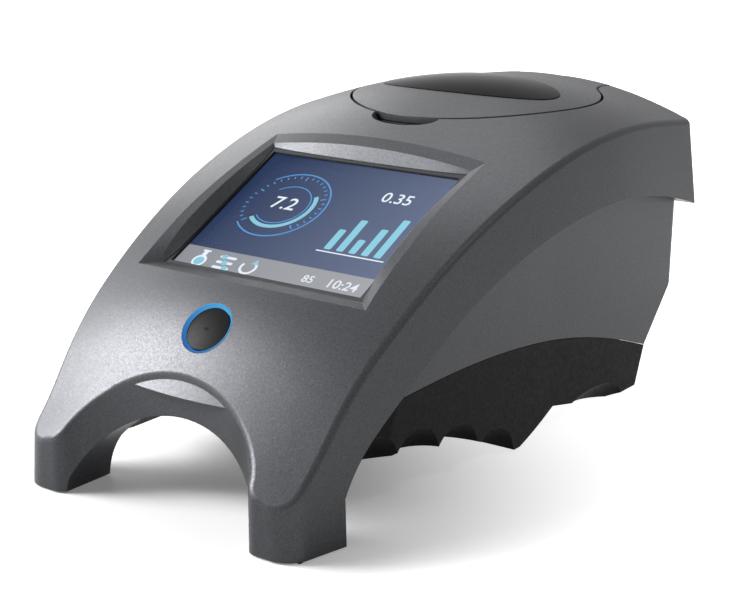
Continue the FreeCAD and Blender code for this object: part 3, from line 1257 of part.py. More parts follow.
def make_battery_strap():
    top = PACK_TOP + PACK_CLEARANCE + STRAP_THICKNESS
    inner = [at(PACK_MIDDLE + side * (PACK_HALF + PACK_CLEARANCE)) for side in (-1, 1)]
    outer = [inner[0] - STRAP_THICKNESS, inner[1] + STRAP_THICKNESS]
    half = STRAP_WIDTH / 2
    bridge = block(-half, half, outer[0], outer[1], top - STRAP_THICKNESS, top)
    legs = [block(-half, half, outer[0], inner[0], STRAP_SEAT, top),
            block(-half, half, inner[1], outer[1], STRAP_SEAT, top)]
    feet = [block(-half, half, outer[0] - STRAP_FOOT, outer[0], STRAP_SEAT, STRAP_SEAT + STRAP_THICKNESS),
            block(-half, half, outer[1], outer[1] + STRAP_FOOT, STRAP_SEAT, STRAP_SEAT + STRAP_THICKNESS)]
    strap = bridge.fuse(legs + feet).removeSplitter()
    return strap.cut([rod(SHANK + 2 * SCREW_CLEARANCE, 6, vec(0, at(distance), STRAP_SEAT - 1))
                      for distance in STRAP_SCREWS])


def make_strap_screws():
    return Part.makeCompound([screw(vec(0, at(distance), STRAP_SEAT + STRAP_THICKNESS), (0, 0, -1),
                                    STRAP_THICKNESS + GRIP_LENGTH - 1) for distance in STRAP_SCREWS])


def make_socket_board():
    board = block(-SOCKET_BOARD[0] / 2, SOCKET_BOARD[0] / 2, SOCKET_BOARD_Y - BOARD_THICKNESS, SOCKET_BOARD_Y,
                  SOCKET_BOARD_HEIGHT - SOCKET_BOARD[1] / 2, SOCKET_BOARD_HEIGHT + SOCKET_BOARD[1] / 2)
    return board.cut([rod(SHANK + 2 * SCREW_CLEARANCE, 6, vec(x, SOCKET_BOARD_Y - 3, SOCKET_BOARD_HEIGHT), vec(0, 1, 0))
                      for x in (-SOCKET_BOSS_SPREAD, SOCKET_BOSS_SPREAD)])


def make_usb_socket():
    width, depth, height = SOCKET_SIZE
    wall = 0.5
    can = block(-width / 2, width / 2, SOCKET_BOARD_Y, SOCKET_BOARD_Y + depth,
                SOCKET_BOARD_HEIGHT - height / 2, SOCKET_BOARD_HEIGHT + height / 2)
    can = can.makeFillet(1.2, [edge for edge in can.Edges if abs(edge.Vertexes[0].Y - edge.Vertexes[1].Y) > 1])
    mouth = block(-width / 2 + wall, width / 2 - wall, SOCKET_BOARD_Y + 2, SOCKET_BOARD_Y + depth + 1,
                  SOCKET_BOARD_HEIGHT - height / 2 + wall, SOCKET_BOARD_HEIGHT + height / 2 - wall)
    tongue = block(-width / 4, width / 4, SOCKET_BOARD_Y + 1, SOCKET_BOARD_Y + depth - 1,
                   SOCKET_BOARD_HEIGHT - 0.4, SOCKET_BOARD_HEIGHT + 0.4)
    return can.cut(mouth).fuse(tongue)


def make_socket_board_screws():
    y = SOCKET_BOARD_Y - BOARD_THICKNESS
    return Part.makeCompound([screw(vec(x, y, SOCKET_BOARD_HEIGHT), (0, 1, 0), BOARD_THICKNESS + GRIP_LENGTH - 1)
                              for x in (-SOCKET_BOSS_SPREAD, SOCKET_BOSS_SPREAD)])


save("top_housing", make_top_housing())
save("base_grip", make_base_grip())
save("front_foot_pads", front_pad_block(0, 0, PAD_THICKNESS))
save("rear_foot_pads", rear_pad_block(0, 0, PAD_THICKNESS))
save("case_screws", make_case_screws())
save("touch_glass", make_touch_glass())
save("screen_gasket", make_screen_gasket())
save("lcd_module", make_lcd_module())
save("screen_bracket", make_screen_bracket())
save("bracket_screws", make_bracket_screws())
save("power_button", make_power_button())
save("button_light_ring", make_button_light_ring())
save("button_board", make_button_board())
save("button_switch", make_button_switch())
save("button_board_screws", make_button_board_screws())
save("lid_shell", make_lid_shell())
save("lid_badge", make_lid_badge())
save("lid_liner", make_lid_liner())
save("lid_liner_screws", make_lid_liner_screws())
save("lid_window", make_lid_window())
save("detector_board", make_detector_board())
save("lid_magnets", make_lid_magnets())
save("catch_plates", make_catch_plates())
save("lid_seal", make_lid_seal())
save("hinge_pin", make_hinge_pin())
save("chamber_tray", make_chamber_tray())
save("tray_screws", make_tray_screws())
save("disc_hub", make_disc_hub())
save("motor_shaft", make_motor_shaft())
save("motor", make_motor())
save("motor_plate", make_motor_plate())
save("motor_plate_screws", make_motor_plate_screws())
save("motor_screws", make_motor_screws())
save("optics_block", make_optics_block())
save("floor_window", make_floor_window())
save("led_board", make_led_board())
save("led_lamps", make_led_lamps())
save("led_board_screws", make_led_board_screws())
save("main_board", make_main_board())
save("board_components", make_board_components())
save("main_board_screws", make_main_board_screws())
save("battery_pack", make_battery_pack())
save("battery_strap", make_battery_strap())
save("strap_screws", make_strap_screws())
save("socket_board", make_socket_board())
save("usb_socket", make_usb_socket())
save("socket_board_screws", make_socket_board_screws())
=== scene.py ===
"""Portable water quality analyzer: its finishes, the lit picture on its display, and a plain studio.

Sizes are in metres unless a name ends in _mm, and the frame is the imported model's: +X to the right of
someone facing the display, +Y from the front legs to the rear, +Z up.
"""
import json
import logging
import math
from dataclasses import dataclass, field
from enum import Enum

import bpy
from mathutils import Matrix, Vector


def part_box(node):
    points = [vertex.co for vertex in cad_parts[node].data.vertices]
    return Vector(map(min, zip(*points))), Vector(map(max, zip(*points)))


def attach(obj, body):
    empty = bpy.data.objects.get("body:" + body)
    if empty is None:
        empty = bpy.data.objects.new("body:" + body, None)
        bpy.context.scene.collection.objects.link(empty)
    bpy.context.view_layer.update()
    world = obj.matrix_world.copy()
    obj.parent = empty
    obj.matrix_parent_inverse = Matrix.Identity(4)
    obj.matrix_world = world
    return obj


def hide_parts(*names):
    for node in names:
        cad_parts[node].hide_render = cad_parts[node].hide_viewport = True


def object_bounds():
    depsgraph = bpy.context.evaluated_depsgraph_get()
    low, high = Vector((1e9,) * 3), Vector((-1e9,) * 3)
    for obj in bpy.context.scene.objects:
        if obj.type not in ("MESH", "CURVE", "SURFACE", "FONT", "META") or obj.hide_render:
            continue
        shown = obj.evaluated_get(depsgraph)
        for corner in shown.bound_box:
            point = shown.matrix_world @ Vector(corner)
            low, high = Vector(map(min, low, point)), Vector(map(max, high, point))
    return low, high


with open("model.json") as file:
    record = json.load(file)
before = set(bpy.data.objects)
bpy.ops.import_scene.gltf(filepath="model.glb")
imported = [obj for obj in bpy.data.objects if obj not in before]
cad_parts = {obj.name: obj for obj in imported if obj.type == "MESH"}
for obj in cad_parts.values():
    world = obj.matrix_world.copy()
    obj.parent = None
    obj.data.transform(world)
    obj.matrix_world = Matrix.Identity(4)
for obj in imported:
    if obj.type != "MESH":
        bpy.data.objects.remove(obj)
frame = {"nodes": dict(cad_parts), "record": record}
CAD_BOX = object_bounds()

LOG = logging.getLogger("analyzer")
MM = 0.001
PHOTO_WIDTH = 731
HOUSING_BODY = "housing"
Colour = tuple[float, float, float]
Place = tuple[float, float]
Socket = bpy.types.NodeSocket


class Run(Enum):
    """The direction along which a brushed or drawn surface is marked."""

    ACROSS = (0.06, 1.0, 1.0)
    ALONG = (1.0, 0.06, 1.0)
    UPRIGHT = (1.0, 1.0, 0.06)
    NONE = (1.0, 1.0, 1.0)


def linear(colour: Colour) -> tuple[float, float, float, float]:
    """Turns a colour as a display shows it into the shader's light values.

    Args:
        colour: red, green and blue from 0 to 1, as displayed.

    Returns:
        Red, green, blue and alpha in linear light.
    """
    parts = [c / 12.92 if c <= 0.04045 else ((c + 0.055) / 1.055) ** 2.4 for c in colour]
    return (parts[0], parts[1], parts[2], 1.0)


def shaded(colour: Colour, share: float) -> Colour:
    """Makes a displayed colour lighter or darker.

    Args:
        colour: the displayed colour.
        share: what each part is multiplied by.

    Returns:
        The changed colour, held between 0 and 1.
    """
    return tuple(min(1.0, max(0.0, part * share)) for part in colour)


class Finish:
    """The nodes of one material, laid on the piece's own Object coordinates."""

    def __init__(self, name: str) -> None:
        """Starts a material with one principled shader.

        Args:
            name: the material's name.
        """
        self.material = bpy.data.materials.new(name)
        self.material.use_nodes = True
        self.nodes = self.material.node_tree.nodes
        self.links = self.material.node_tree.links
        self.nodes.clear()
        self.output = self.nodes.new("ShaderNodeOutputMaterial")
        self.shader = self.nodes.new("ShaderNodeBsdfPrincipled")
        self.links.new(self.shader.outputs["BSDF"], self.output.inputs["Surface"])
        self.place = self.nodes.new("ShaderNodeTexCoord").outputs["Object"]

    def set(self, **values: float | tuple) -> None:
        """Sets constants on the shader's own sockets.

        Args:
            values: socket names in lower case with underscores for spaces, and their values.
        """
        sockets = {socket.name.lower().replace(" ", "_"): socket for socket in self.shader.inputs}
        for name, value in values.items():
            sockets[name].default_value = value

    def feed(self, socket_name: str, source: Socket) -> None:
        """Links a source to one of the shader's sockets."""
        self.links.new(source, self.shader.inputs[socket_name])

    def stretched(self, run: Run) -> Socket:
        """Object coordinates squeezed along a direction.

        Args:
            run: the direction of the marks.

        Returns:
            The socket of the mapped coordinates.
        """
        mapping = self.nodes.new("ShaderNodeMapping")
        mapping.vector_type = "POINT"
        mapping.inputs["Scale"].default_value = run.value
        self.links.new(self.place, mapping.inputs["Vector"])
        return mapping.outputs["Vector"]

    def noise(self, grain: float, detail: float = 2.0, roughness: float = 0.5,
              at: Socket | None = None) -> Socket:
        """Soft noise.

        Args:
            grain: the size of a patch in metres.
            detail: how many finer layers it holds.
            roughness: how strong the finer layers are.
            at: the coordinates, or None for Object coordinates.

        Returns:
            The socket of the noise's value.
        """
        node = self.nodes.new("ShaderNodeTexNoise")
        node.inputs["Scale"].default_value = 1.0 / grain
        node.inputs["Detail"].default_value = detail
        node.inputs["Roughness"].default_value = roughness
        self.links.new(at or self.place, node.inputs["Vector"])
        return node.outputs["Fac"]

    def flecks(self, grain: float) -> Socket:
        """Small cells, each of one random value.

        Args:
            grain: the size of a cell in metres.

        Returns:
            The socket of the cells' values.
        """
        node = self.nodes.new("ShaderNodeTexVoronoi")
        node.inputs["Scale"].default_value = 1.0 / grain
        self.links.new(self.place, node.inputs["Vector"])
        return node.outputs["Color"]

    def ramp(self, value: Socket, stops: list[tuple[float, Colour]]) -> Socket:
        """Colours along a value.

        Args:
            value: the socket that is read.
            stops: positions and displayed colours in rising order.

        Returns:
            The socket of the colour.
        """
        node = self.nodes.new("ShaderNodeValToRGB")
        elements = node.color_ramp.elements
        while len(elements) < len(stops):
            elements.new(0.5)
        for element, (position, colour) in zip(elements, stops):
            element.position = position
            element.color = linear(colour)
        self.links.new(value, node.inputs["Fac"])
        return node.outputs["Color"]

    def levels(self, value: Socket, low: float, high: float) -> Socket:
        """Spreads a noise value between two numbers.

        Args:
            value: the socket that is read.
            low: the result at 0.3 and below.
            high: the result at 0.7 and above.

        Returns:
            The socket of the result.
        """
        node = self.nodes.new("ShaderNodeMapRange")
        node.inputs["From Min"].default_value = 0.3
        node.inputs["From Max"].default_value = 0.7
        node.inputs["To Min"].default_value = low
        node.inputs["To Max"].default_value = high
        self.links.new(value, node.inputs["Value"])
        return node.outputs["Result"]

    def blended(self, share: float, first: Socket, second: Socket) -> Socket:
        """Mixes two colours by a fixed share of the second.

        Args:
            share: the second colour's share.
            first: the first colour.
            second: the second colour.

        Returns:
            The socket of the mixed colour.
        """
        node = self.nodes.new("ShaderNodeMix")
        node.data_type = "RGBA"
        node.inputs[0].default_value = share
        self.links.new(first, node.inputs[6])
        self.links.new(second, node.inputs[7])
        return node.outputs[2]

    def relief(self, height: Socket, depth: float, edge: float = 0.0) -> None:
        """Gives the surface a fine relief and softly rounded edges.

        Args:
            height: the socket of the relief's height from 0 to 1.
            depth: the relief's depth in metres.
            edge: the radius of a moulded edge in metres.
        """
        bump = self.nodes.new("ShaderNodeBump")
        bump.inputs["Strength"].default_value = 1.0
        bump.inputs["Distance"].default_value = depth
        self.links.new(height, bump.inputs["Height"])
        if edge > 0:
            rounding = self.nodes.new("ShaderNodeBevel")
            rounding.samples = 6
            rounding.inputs["Radius"].default_value = edge
            self.links.new(rounding.outputs["Normal"], bump.inputs["Normal"])
        self.feed("Normal", bump.outputs["Normal"])


@dataclass(frozen=True)
class FleckedPaint:
    """Satin paint with fine bright metal flecks over moulded plastic."""

    name: str
    colour: Colour
    fleck_grain: float = 0.00030
    mottle_grain: float = 0.0006
    edge: float = 0.0004
    metallic: float = 0.6
    contrast: float = 0.16
    roughness: tuple[float, float] = (0.36, 0.44)

    def material(self) -> bpy.types.Material:
        """Builds the paint's material."""
        finish = Finish(self.name)
        dark, light = shaded(self.colour, 1 - self.contrast), shaded(self.colour, 1 + self.contrast)
        cells = finish.flecks(self.fleck_grain)
        flecks = finish.ramp(cells, [(0.0, dark), (0.8, self.colour), (1.0, light)])
        mottle = finish.ramp(finish.noise(self.mottle_grain, 3.0, 0.65), [(0.3, dark), (0.7, light)])
        finish.feed("Base Color", finish.blended(0.5, flecks, mottle))
        finish.feed("Roughness", finish.levels(finish.noise(0.0007, 2.0), *self.roughness))
        finish.relief(finish.noise(0.0008, 2.0, 0.6), 0.00002, self.edge)
        finish.set(metallic=self.metallic, specular_ior_level=0.15)
        return finish.material


@dataclass(frozen=True)
class MouldedPlastic:
    """Moulded plastic with a spark-eroded grain."""

    name: str
    colour: Colour
    grain: float = 0.0006
    depth: float = 0.00003
    roughness: tuple[float, float] = (0.5, 0.65)
    specular: float = 0.3
    edge: float = 0.0003

    def material(self) -> bpy.types.Material:
        """Builds the plastic's material."""
        finish = Finish(self.name)
        tone = finish.noise(self.grain, 3.0, 0.6)
        stops = [(0.3, shaded(self.colour, 0.92)), (0.7, shaded(self.colour, 1.08))]
        finish.feed("Base Color", finish.ramp(tone, stops))
        finish.feed("Roughness", finish.levels(finish.noise(self.grain * 3, 3.0), *self.roughness))
        finish.relief(finish.noise(self.grain, 2.0, 0.6), self.depth, self.edge)
        finish.set(specular_ior_level=self.specular)
        return finish.material


@dataclass(frozen=True)
class GlossPlastic:
    """Polished plastic or lacquer with faint waviness and handling marks."""

    name: str
    colour: Colour
    roughness: tuple[float, float] = (0.06, 0.14)
    specular: float = 0.5
    edge: float = 0.0002

    def material(self) -> bpy.types.Material:
        """Builds the gloss material."""
        finish = Finish(self.name)
        tone = finish.noise(0.012, 3.0)
        stops = [(0.3, shaded(self.colour, 0.92)), (0.7, shaded(self.colour, 1.08))]
        finish.feed("Base Color", finish.ramp(tone, stops))
        finish.feed("Roughness", finish.levels(finish.noise(0.004, 4.0, 0.7), *self.roughness))
        finish.relief(finish.noise(0.006, 1.0), 0.00001, self.edge)
        finish.set(specular_ior_level=self.specular)
        return finish.material


@dataclass(frozen=True)
class Metal:
    """Bare or plated metal, brushed along one direction."""

    name: str
    colour: Colour
    run: Run = Run.NONE
    roughness: tuple[float, float] = (0.25, 0.4)
    edge: float = 0.00015

    def material(self) -> bpy.types.Material:
        """Builds the metal's material."""
        finish = Finish(self.name)
        marks = finish.noise(0.0006, 3.0, 0.7, finish.stretched(self.run))
        stops = [(0.3, shaded(self.colour, 0.88)), (0.7, shaded(self.colour, 1.06))]
        finish.feed("Base Color", finish.ramp(marks, stops))
        finish.feed("Roughness", finish.levels(marks, *self.roughness))
        finish.relief(marks, 0.00001, self.edge)
        finish.set(metallic=1.0)
        return finish.material


@dataclass(frozen=True)
class ClearGlass:
    """Clear glass or a cast lens."""

    name: str
    tint: Colour
    roughness: tuple[float, float] = (0.0, 0.02)
    bend: float = 1.45

    def material(self) -> bpy.types.Material:
        """Builds the glass's material."""
        finish = Finish(self.name)
        smear = finish.noise(0.006, 3.0)
        finish.feed("Base Color", finish.ramp(smear, [(0.3, shaded(self.tint, 0.99)), (0.7, self.tint)]))
        finish.feed("Roughness", finish.levels(smear, *self.roughness))
        finish.set(transmission_weight=1.0, ior=self.bend)
        return finish.material


@dataclass(frozen=True)
class BoardLaminate:
    """Circuit board with copper tracks under its solder mask."""

    name: str
    mask: Colour = (0.05, 0.30, 0.16)
    track: Colour = (0.12, 0.44, 0.24)
    pitch: float = 0.0016
    track_share: float = 0.10
    run_length: float = 2.2
    row_height: float = 0.6

    def material(self) -> bpy.types.Material:
        """Builds the laminate's material."""
        finish = Finish(self.name)
        bricks = finish.nodes.new("ShaderNodeTexBrick")
        bricks.inputs["Scale"].default_value = 1.0 / self.pitch
        bricks.inputs["Mortar Size"].default_value = self.track_share
        bricks.inputs["Brick Width"].default_value = self.run_length
        bricks.inputs["Row Height"].default_value = self.row_height
        bricks.inputs["Color1"].default_value = linear(self.mask)
        bricks.inputs["Color2"].default_value = linear(shaded(self.mask, 1.15))
        bricks.inputs["Mortar"].default_value = linear(self.track)
        finish.links.new(finish.place, bricks.inputs["Vector"])
        finish.feed("Base Color", bricks.outputs["Color"])
        finish.feed("Roughness", finish.levels(finish.noise(0.002, 3.0), 0.25, 0.4))
        finish.relief(bricks.outputs["Fac"], 0.00002)
        return finish.material


@dataclass(frozen=True)
class LitColour:
    """A display's lit colour that runs from one tone to another along a direction."""

    name: str
    first: Colour
    second: Colour
    start: Vector
    end: Vector
    strength: float = 1.0
    unlit: Colour = (0.02, 0.02, 0.03)

    def material(self) -> bpy.types.Material:
        """Builds the lit material, whose tone follows the line from start to end."""
        finish = Finish(self.name)
        way = self.end - self.start
        turn = way.to_track_quat("X", "Z").to_matrix().to_euler()
        mapping = finish.nodes.new("ShaderNodeMapping")
        mapping.vector_type = "TEXTURE"
        mapping.inputs["Location"].default_value = self.start
        mapping.inputs["Rotation"].default_value = turn
        mapping.inputs["Scale"].default_value = (way.length,) * 3
        finish.links.new(finish.place, mapping.inputs["Vector"])
        gradient = finish.nodes.new("ShaderNodeTexGradient")
        finish.links.new(mapping.outputs["Vector"], gradient.inputs["Vector"])
        tone = finish.ramp(gradient.outputs["Fac"], [(0.0, self.first), (1.0, self.second)])
        finish.feed("Emission Color", tone)
        finish.set(base_color=linear(self.unlit), roughness=0.6, specular_ior_level=0.0,
                   emission_strength=self.strength)
        return finish.material


@dataclass
class Dressing:
    """Gives every node of the record the finish of its material slot, or the finish that own_finishes
    names for it.
    """

    housing: Colour = (0.315, 0.319, 0.331)
    own_finishes: dict[str, str] = field(default_factory=lambda: {"screen_gasket": "gasket_foam"})

    def finishes(self) -> dict[str, bpy.types.Material]:
        """Builds one material for each slot of the record.

        Returns:
            The materials by slot name.
        """
        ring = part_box("button_light_ring")
        made = {
            "housing_grey": FleckedPaint("housing_paint", self.housing),
            "base_black": MouldedPlastic(
                "grip_black", (0.09, 0.09, 0.095), grain=0.0004, depth=0.00002, specular=0.1),
            "pad_rubber": MouldedPlastic(
                "pad_rubber", (0.07, 0.07, 0.07), 0.0009, 0.00005, (0.75, 0.9), specular=0.2),
            "gasket_foam": MouldedPlastic(
                "gasket_foam", (0.30, 0.305, 0.315), 0.0004, 0.00003, (0.8, 0.9), specular=0.1),
            "screw_steel": Metal("zinc_plate", (0.72, 0.72, 0.70)),
            "touch_glass": ClearGlass("touch_glass", (0.97, 0.98, 1.0), (0.0, 0.0), bend=1.08),
            "screen_panel": Metal("display_can", (0.62, 0.63, 0.65), Run.ACROSS),
            "plate_steel": Metal("plate_steel", (0.70, 0.71, 0.73), Run.ALONG),
            "plate_aluminium": Metal("plate_aluminium", (0.80, 0.81, 0.83), Run.ACROSS),
            "light_ring": LitColour(
                "ring_light", (0.03, 0.22, 0.58), (0.36, 0.74, 0.96), start=ring[0], end=ring[1]),
            "circuit_board": BoardLaminate("board_laminate"),
            "chip_black": MouldedPlastic(
                "chip_resin", (0.08, 0.08, 0.085), 0.0003, 0.00001, (0.45, 0.6)),
            "chamber_black": MouldedPlastic(
                "chamber_black", (0.09, 0.09, 0.095), 0.0005, 0.00003, (0.6, 0.75)),
            "optic_glass": ClearGlass("optic_glass", (0.93, 0.98, 0.97)),
            "lamp_clear": ClearGlass("lamp_resin", (0.95, 0.96, 1.0), (0.05, 0.12), bend=1.5),
            "battery_wrap": GlossPlastic("battery_wrap", (0.10, 0.28, 0.62), (0.2, 0.35)),
            "badge_black": GlossPlastic("badge_lacquer", (0.05, 0.05, 0.055), (0.12, 0.18), 0.02),
            "magnet_nickel": Metal("nickel_plate", (0.82, 0.80, 0.76), Run.NONE, (0.08, 0.16)),
            "button_grey": MouldedPlastic(
                "button_satin", (0.085, 0.085, 0.09), 0.0004, 0.000003, (0.35, 0.4), specular=0.06),
            "hub_grey": MouldedPlastic(
                "hub_plastic", (0.48, 0.49, 0.50), 0.0004, 0.00001, (0.35, 0.45), specular=0.5),
        }
        return {slot: finish.material() for slot, finish in made.items()}

    def build(self) -> None:
        """Puts the finishes on the frame's nodes."""
        finishes = self.finishes()
        for part in frame["record"]["subparts"]:
            name, slot = part["node"], part["material_slot"]
            node = frame["nodes"][name]
            node.data.materials.clear()
            node.data.materials.append(finishes[self.own_finishes.get(name, slot)])
            LOG.info("%s is dressed in %s", name, slot)


def only_selected(piece: bpy.types.Object) -> None:
    """Leaves one object selected and active."""
    bpy.ops.object.select_all(action="DESELECT")
    piece.select_set(True)
    bpy.context.view_layer.objects.active = piece


def named(name: str) -> bpy.types.Object:
    """Names the active object and its mesh.

    Args:
        name: the piece's name.

    Returns:
        The object.
    """
    piece = bpy.context.active_object
    piece.name = name
    piece.data.name = name
    return piece


@dataclass
class HousingShell:
    """The painted housing, copied from its node, with the tops of both feet drawn down in front."""

    node: str = "top_housing"
    slot: str = "housing_grey"
    merge_mm: float = 0.0001
    normal_store: str = "kept_normal"
    toe_drop_mm: float = 2.9
    toe_reach_mm: float = 26.0
    toe_sole_mm: float = 4.0
    toe_crest_mm: float = 16.5

    def shell(self) -> bpy.types.Object:
        """Copies the housing's mesh into a new piece, with its triangles joined and its shading kept.

        Returns:
            The piece, with the node's place and shading.
        """
        piece = bpy.data.objects.new("housing_shell", frame["nodes"][self.node].data.copy())
        bpy.context.scene.collection.objects.link(piece)
        mesh = piece.data
        mesh.name = piece.name
        kept = mesh.attributes.new(self.normal_store, "FLOAT_VECTOR", "CORNER")
        for corner, normal in zip(kept.data, mesh.corner_normals):
            corner.vector = normal.vector
        only_selected(piece)
        bpy.ops.object.mode_set(mode="EDIT")
        bpy.ops.mesh.select_all(action="SELECT")
        bpy.ops.mesh.remove_doubles(threshold=self.merge_mm * MM)
        bpy.ops.object.mode_set(mode="OBJECT")
        normals = [corner.vector.copy() for corner in mesh.attributes[self.normal_store].data]
        mesh.normals_split_custom_set(normals)
        mesh.attributes.remove(mesh.attributes[self.normal_store])
        return piece

    def lower_toes(self, piece: bpy.types.Object) -> None:
        """Draws the tops of both feet down, most at their front, and leaves their soles on the ground.

        Args:
            piece: the copied housing.
        """
        front = CAD_BOX[0].y
        for vertex in piece.data.vertices:
            behind = (vertex.co.y - front) / MM
            if behind < self.toe_reach_mm:
                crest = self.toe_crest_mm + behind
                share = (vertex.co.z / MM - self.toe_sole_mm) / (crest - self.toe_sole_mm)
                near = (1 - behind / self.toe_reach_mm) ** 2
                vertex.co.z -= self.toe_drop_mm * near * min(1.0, max(0.0, share)) * MM

    def build(self) -> None:
        """Makes the piece and puts it in the node's place."""
        piece = self.shell()
        self.lower_toes(piece)
        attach(piece, HOUSING_BODY)
        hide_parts(self.node)
        LOG.info("%s has %d faces", piece.name, len(piece.data.polygons))


@dataclass
class Picture:
    """The lit picture on the display, in the display's own plane.

    u runs to the right and v up the slope, both in millimetres from the middle of the display.
    """

    tilt_deg: float = 27.3
    window_mm: Place = (72.6, 56.8)
    hidden_edge_mm: float = 1.4
    film_mm: float = 0.02
    merge_mm: float = 0.0001
    arc_step_deg: float = 6.0
    cap_share: float = 0.7
    digit_weight: float = 0.012
    # How far down the painted reflection on the inks slants, as a share of the picture's half height.
    painted_reflection_slant: float = 0.35
    bar_height_mm: float = 10.2
    dial_centre_mm: Place = (-17.5, 6.5)
    dial_radius_mm: float = 15.5
    dial_line_mm: float = 0.55
    dial_inner_in_mm: float = 6.4
    dial_inner_line_mm: float = 0.385
    dial_level_in_mm: float = 4.7
    dial_level_mm: float = 1.5
    dial_gap_deg: float = 90.0
    dial_marks: int = 28
    dial_long_every: int = 7
    dial_long_mm: Place = (2.0, 0.45)
    dial_long_in_mm: float = 2.2
    dial_short_mm: Place = (1.1, 0.45)
    dial_short_in_mm: float = 1.6
    dial_reading: float = 0.62
    dial_number_mm: float = 5.6
    dial_number_up_mm: float = 0.4
    column_left_mm: float = 10.5
    column_base_mm: float = -9.5
    column_pitch_mm: float = 4.6
    column_width_mm: float = 2.6
    column_corner_mm: float = 0.6
    column_heights_mm: tuple[float, ...] = (9.5, 15.0, 6.5, 12.5, 18.0)
    base_line_mm: float = 0.5
    base_line_down_mm: float = 1.1
    chart_number_mm: float = 4.6
    chart_number_up_mm: float = 26.5
    clock_u_mm: float = 25.5
    clock_number_mm: float = 3.6
    level_u_mm: float = 13.0
    level_number_mm: float = 3.0
    flask_u_mm: float = -29.0
    flask_bulb_mm: float = 2.6
    flask_bulb_down_mm: float = 1.0
    flask_neck_mm: Place = (1.7, 3.4)
    flask_neck_up_mm: float = 2.2
    flask_lip_mm: Place = (3.0, 0.7)
    flask_lip_up_mm: float = 3.7
    flask_fill_mm: float = 1.8
    flask_fill_down_mm: float = 1.1
    list_u_mm: float = -19.5
    list_pitch_mm: float = 2.4
    list_rod_mm: Place = (6.4, 1.1)
    list_rod_corner_mm: float = 0.5
    list_bead_mm: float = 1.1
    list_bead_step_mm: float = 1.5
    turn_u_mm: float = -10.0
    turn_radius_mm: float = 2.7
    turn_line_mm: float = 0.9
    turn_from_deg: float = 60.0
    turn_sweep_deg: float = 270.0
    turn_head_mm: float = 1.5
    turn_head_at_mm: Place = (1.4, 2.4)
    pale: Colour = (0.95, 0.97, 0.99)
    line: Colour = (0.36, 0.60, 0.82)
    aqua: Colour = (0.56, 0.80, 0.86)

    def __post_init__(self) -> None:
        """Finds the display's plane from the frame and makes the picture's inks."""
        low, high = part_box("lcd_module")
        middle = (low + high) / 2
        turn = math.radians(self.tilt_deg)
        span = high.y - low.y
        rise = high.z - low.z
        thick = (rise * math.cos(turn) - span * math.sin(turn)) / math.cos(2 * turn)
        LOG.info("display is %.2f mm thick and its picture %.1f mm tall", thick / MM, self.window_mm[1])
        self.plane = (Matrix.Translation(middle) @ Matrix.Rotation(turn, 4, "X")
                      @ Matrix.Translation((0, 0, thick / 2)))
        self.half = (self.window_mm[0] / 2, self.window_mm[1] / 2)
        # Every ink but the pale one grows lighter toward the lower right: a painted reflection of the
        # cover glass on the lit picture.
        self.pale_ink = self.ink("ink_pale", self.pale, self.pale)
        self.line_ink = self.ink("ink_line", self.line, shaded(self.line, 1.12))
        self.aqua_ink = self.ink("ink_aqua", self.aqua, shaded(self.aqua, 1.06))
        self.grey_ink = self.ink("ink_bar", (0.575, 0.583, 0.595), (0.675, 0.675, 0.683))
        self.back_ink = self.ink("ink_back", (0.165, 0.225, 0.355), (0.435, 0.472, 0.568))

    def ink(self, name: str, first: Colour, second: Colour) -> bpy.types.Material:
        """Makes a lit colour that runs from the left of the picture to the right, and a little down; a
        lighter right-hand colour is a painted reflection of the cover glass.

        Args:
            name: the material's name.
            first: the colour at the left.
            second: the colour at the right; where it is lighter than the first, the difference is a
                painted reflection of the cover glass.

        Returns:
            The material.
        """
        across, down = self.half[0] * MM, self.half[1] * self.painted_reflection_slant * MM
        start, end = self.plane @ Vector((-across, down, 0)), self.plane @ Vector((across, -down, 0))
        return LitColour(name, first, second, start, end).material()

    def finish(self, piece: bpy.types.Object, ink: bpy.types.Material, layer: int) -> bpy.types.Object:
        """Gives a flat piece a film's thickness, lays it on the display and dresses it.

        Args:
            piece: a flat mesh in the picture's plane, in metres.
            ink: its material.
            layer: how many films lie below it.

        Returns:
            The finished piece, with its place in its mesh.
        """
        only_selected(piece)
        bpy.ops.object.transform_apply(location=True, rotation=True, scale=True)
        film = piece.modifiers.new("film", "SOLIDIFY")
        film.thickness = self.film_mm * MM
        film.offset = 1.0
        bpy.ops.object.modifier_apply(modifier="film")
        piece.data.transform(self.plane @ Matrix.Translation((0, 0, layer * self.film_mm * MM)))
        piece.data.materials.clear()
        piece.data.materials.append(ink)
        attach(piece, HOUSING_BODY)
        LOG.info("%s is laid on the display", piece.name)
        return piece

    def tile(self, name: str, centre: Place, size: Place, corner: float,
             ink: bpy.types.Material, layer: int = 1) -> bpy.types.Object:
        """A rectangle with rounded corners.

        Args:
            name: the piece's name.
            centre: its middle in millimetres.
            size: its width and height in millimetres.
            corner: its corner radius in millimetres.
            ink: its material.
            layer: how many films lie below it.

        Returns:
            The finished piece.
        """
        bpy.ops.object.select_all(action="DESELECT")
        bpy.ops.mesh.primitive_plane_add(size=1, location=(centre[0] * MM, centre[1] * MM, 0))
        piece = named(name)
        piece.scale = (size[0] * MM, size[1] * MM, 1)
        bpy.ops.object.transform_apply(location=False, rotation=False, scale=True)
        if corner > 0:
            bpy.ops.object.mode_set(mode="EDIT")
            bpy.ops.mesh.select_all(action="SELECT")
            bpy.ops.mesh.bevel(offset=corner * MM, segments=5, affect="VERTICES")
            bpy.ops.object.mode_set(mode="OBJECT")
        return self.finish(piece, ink, layer)

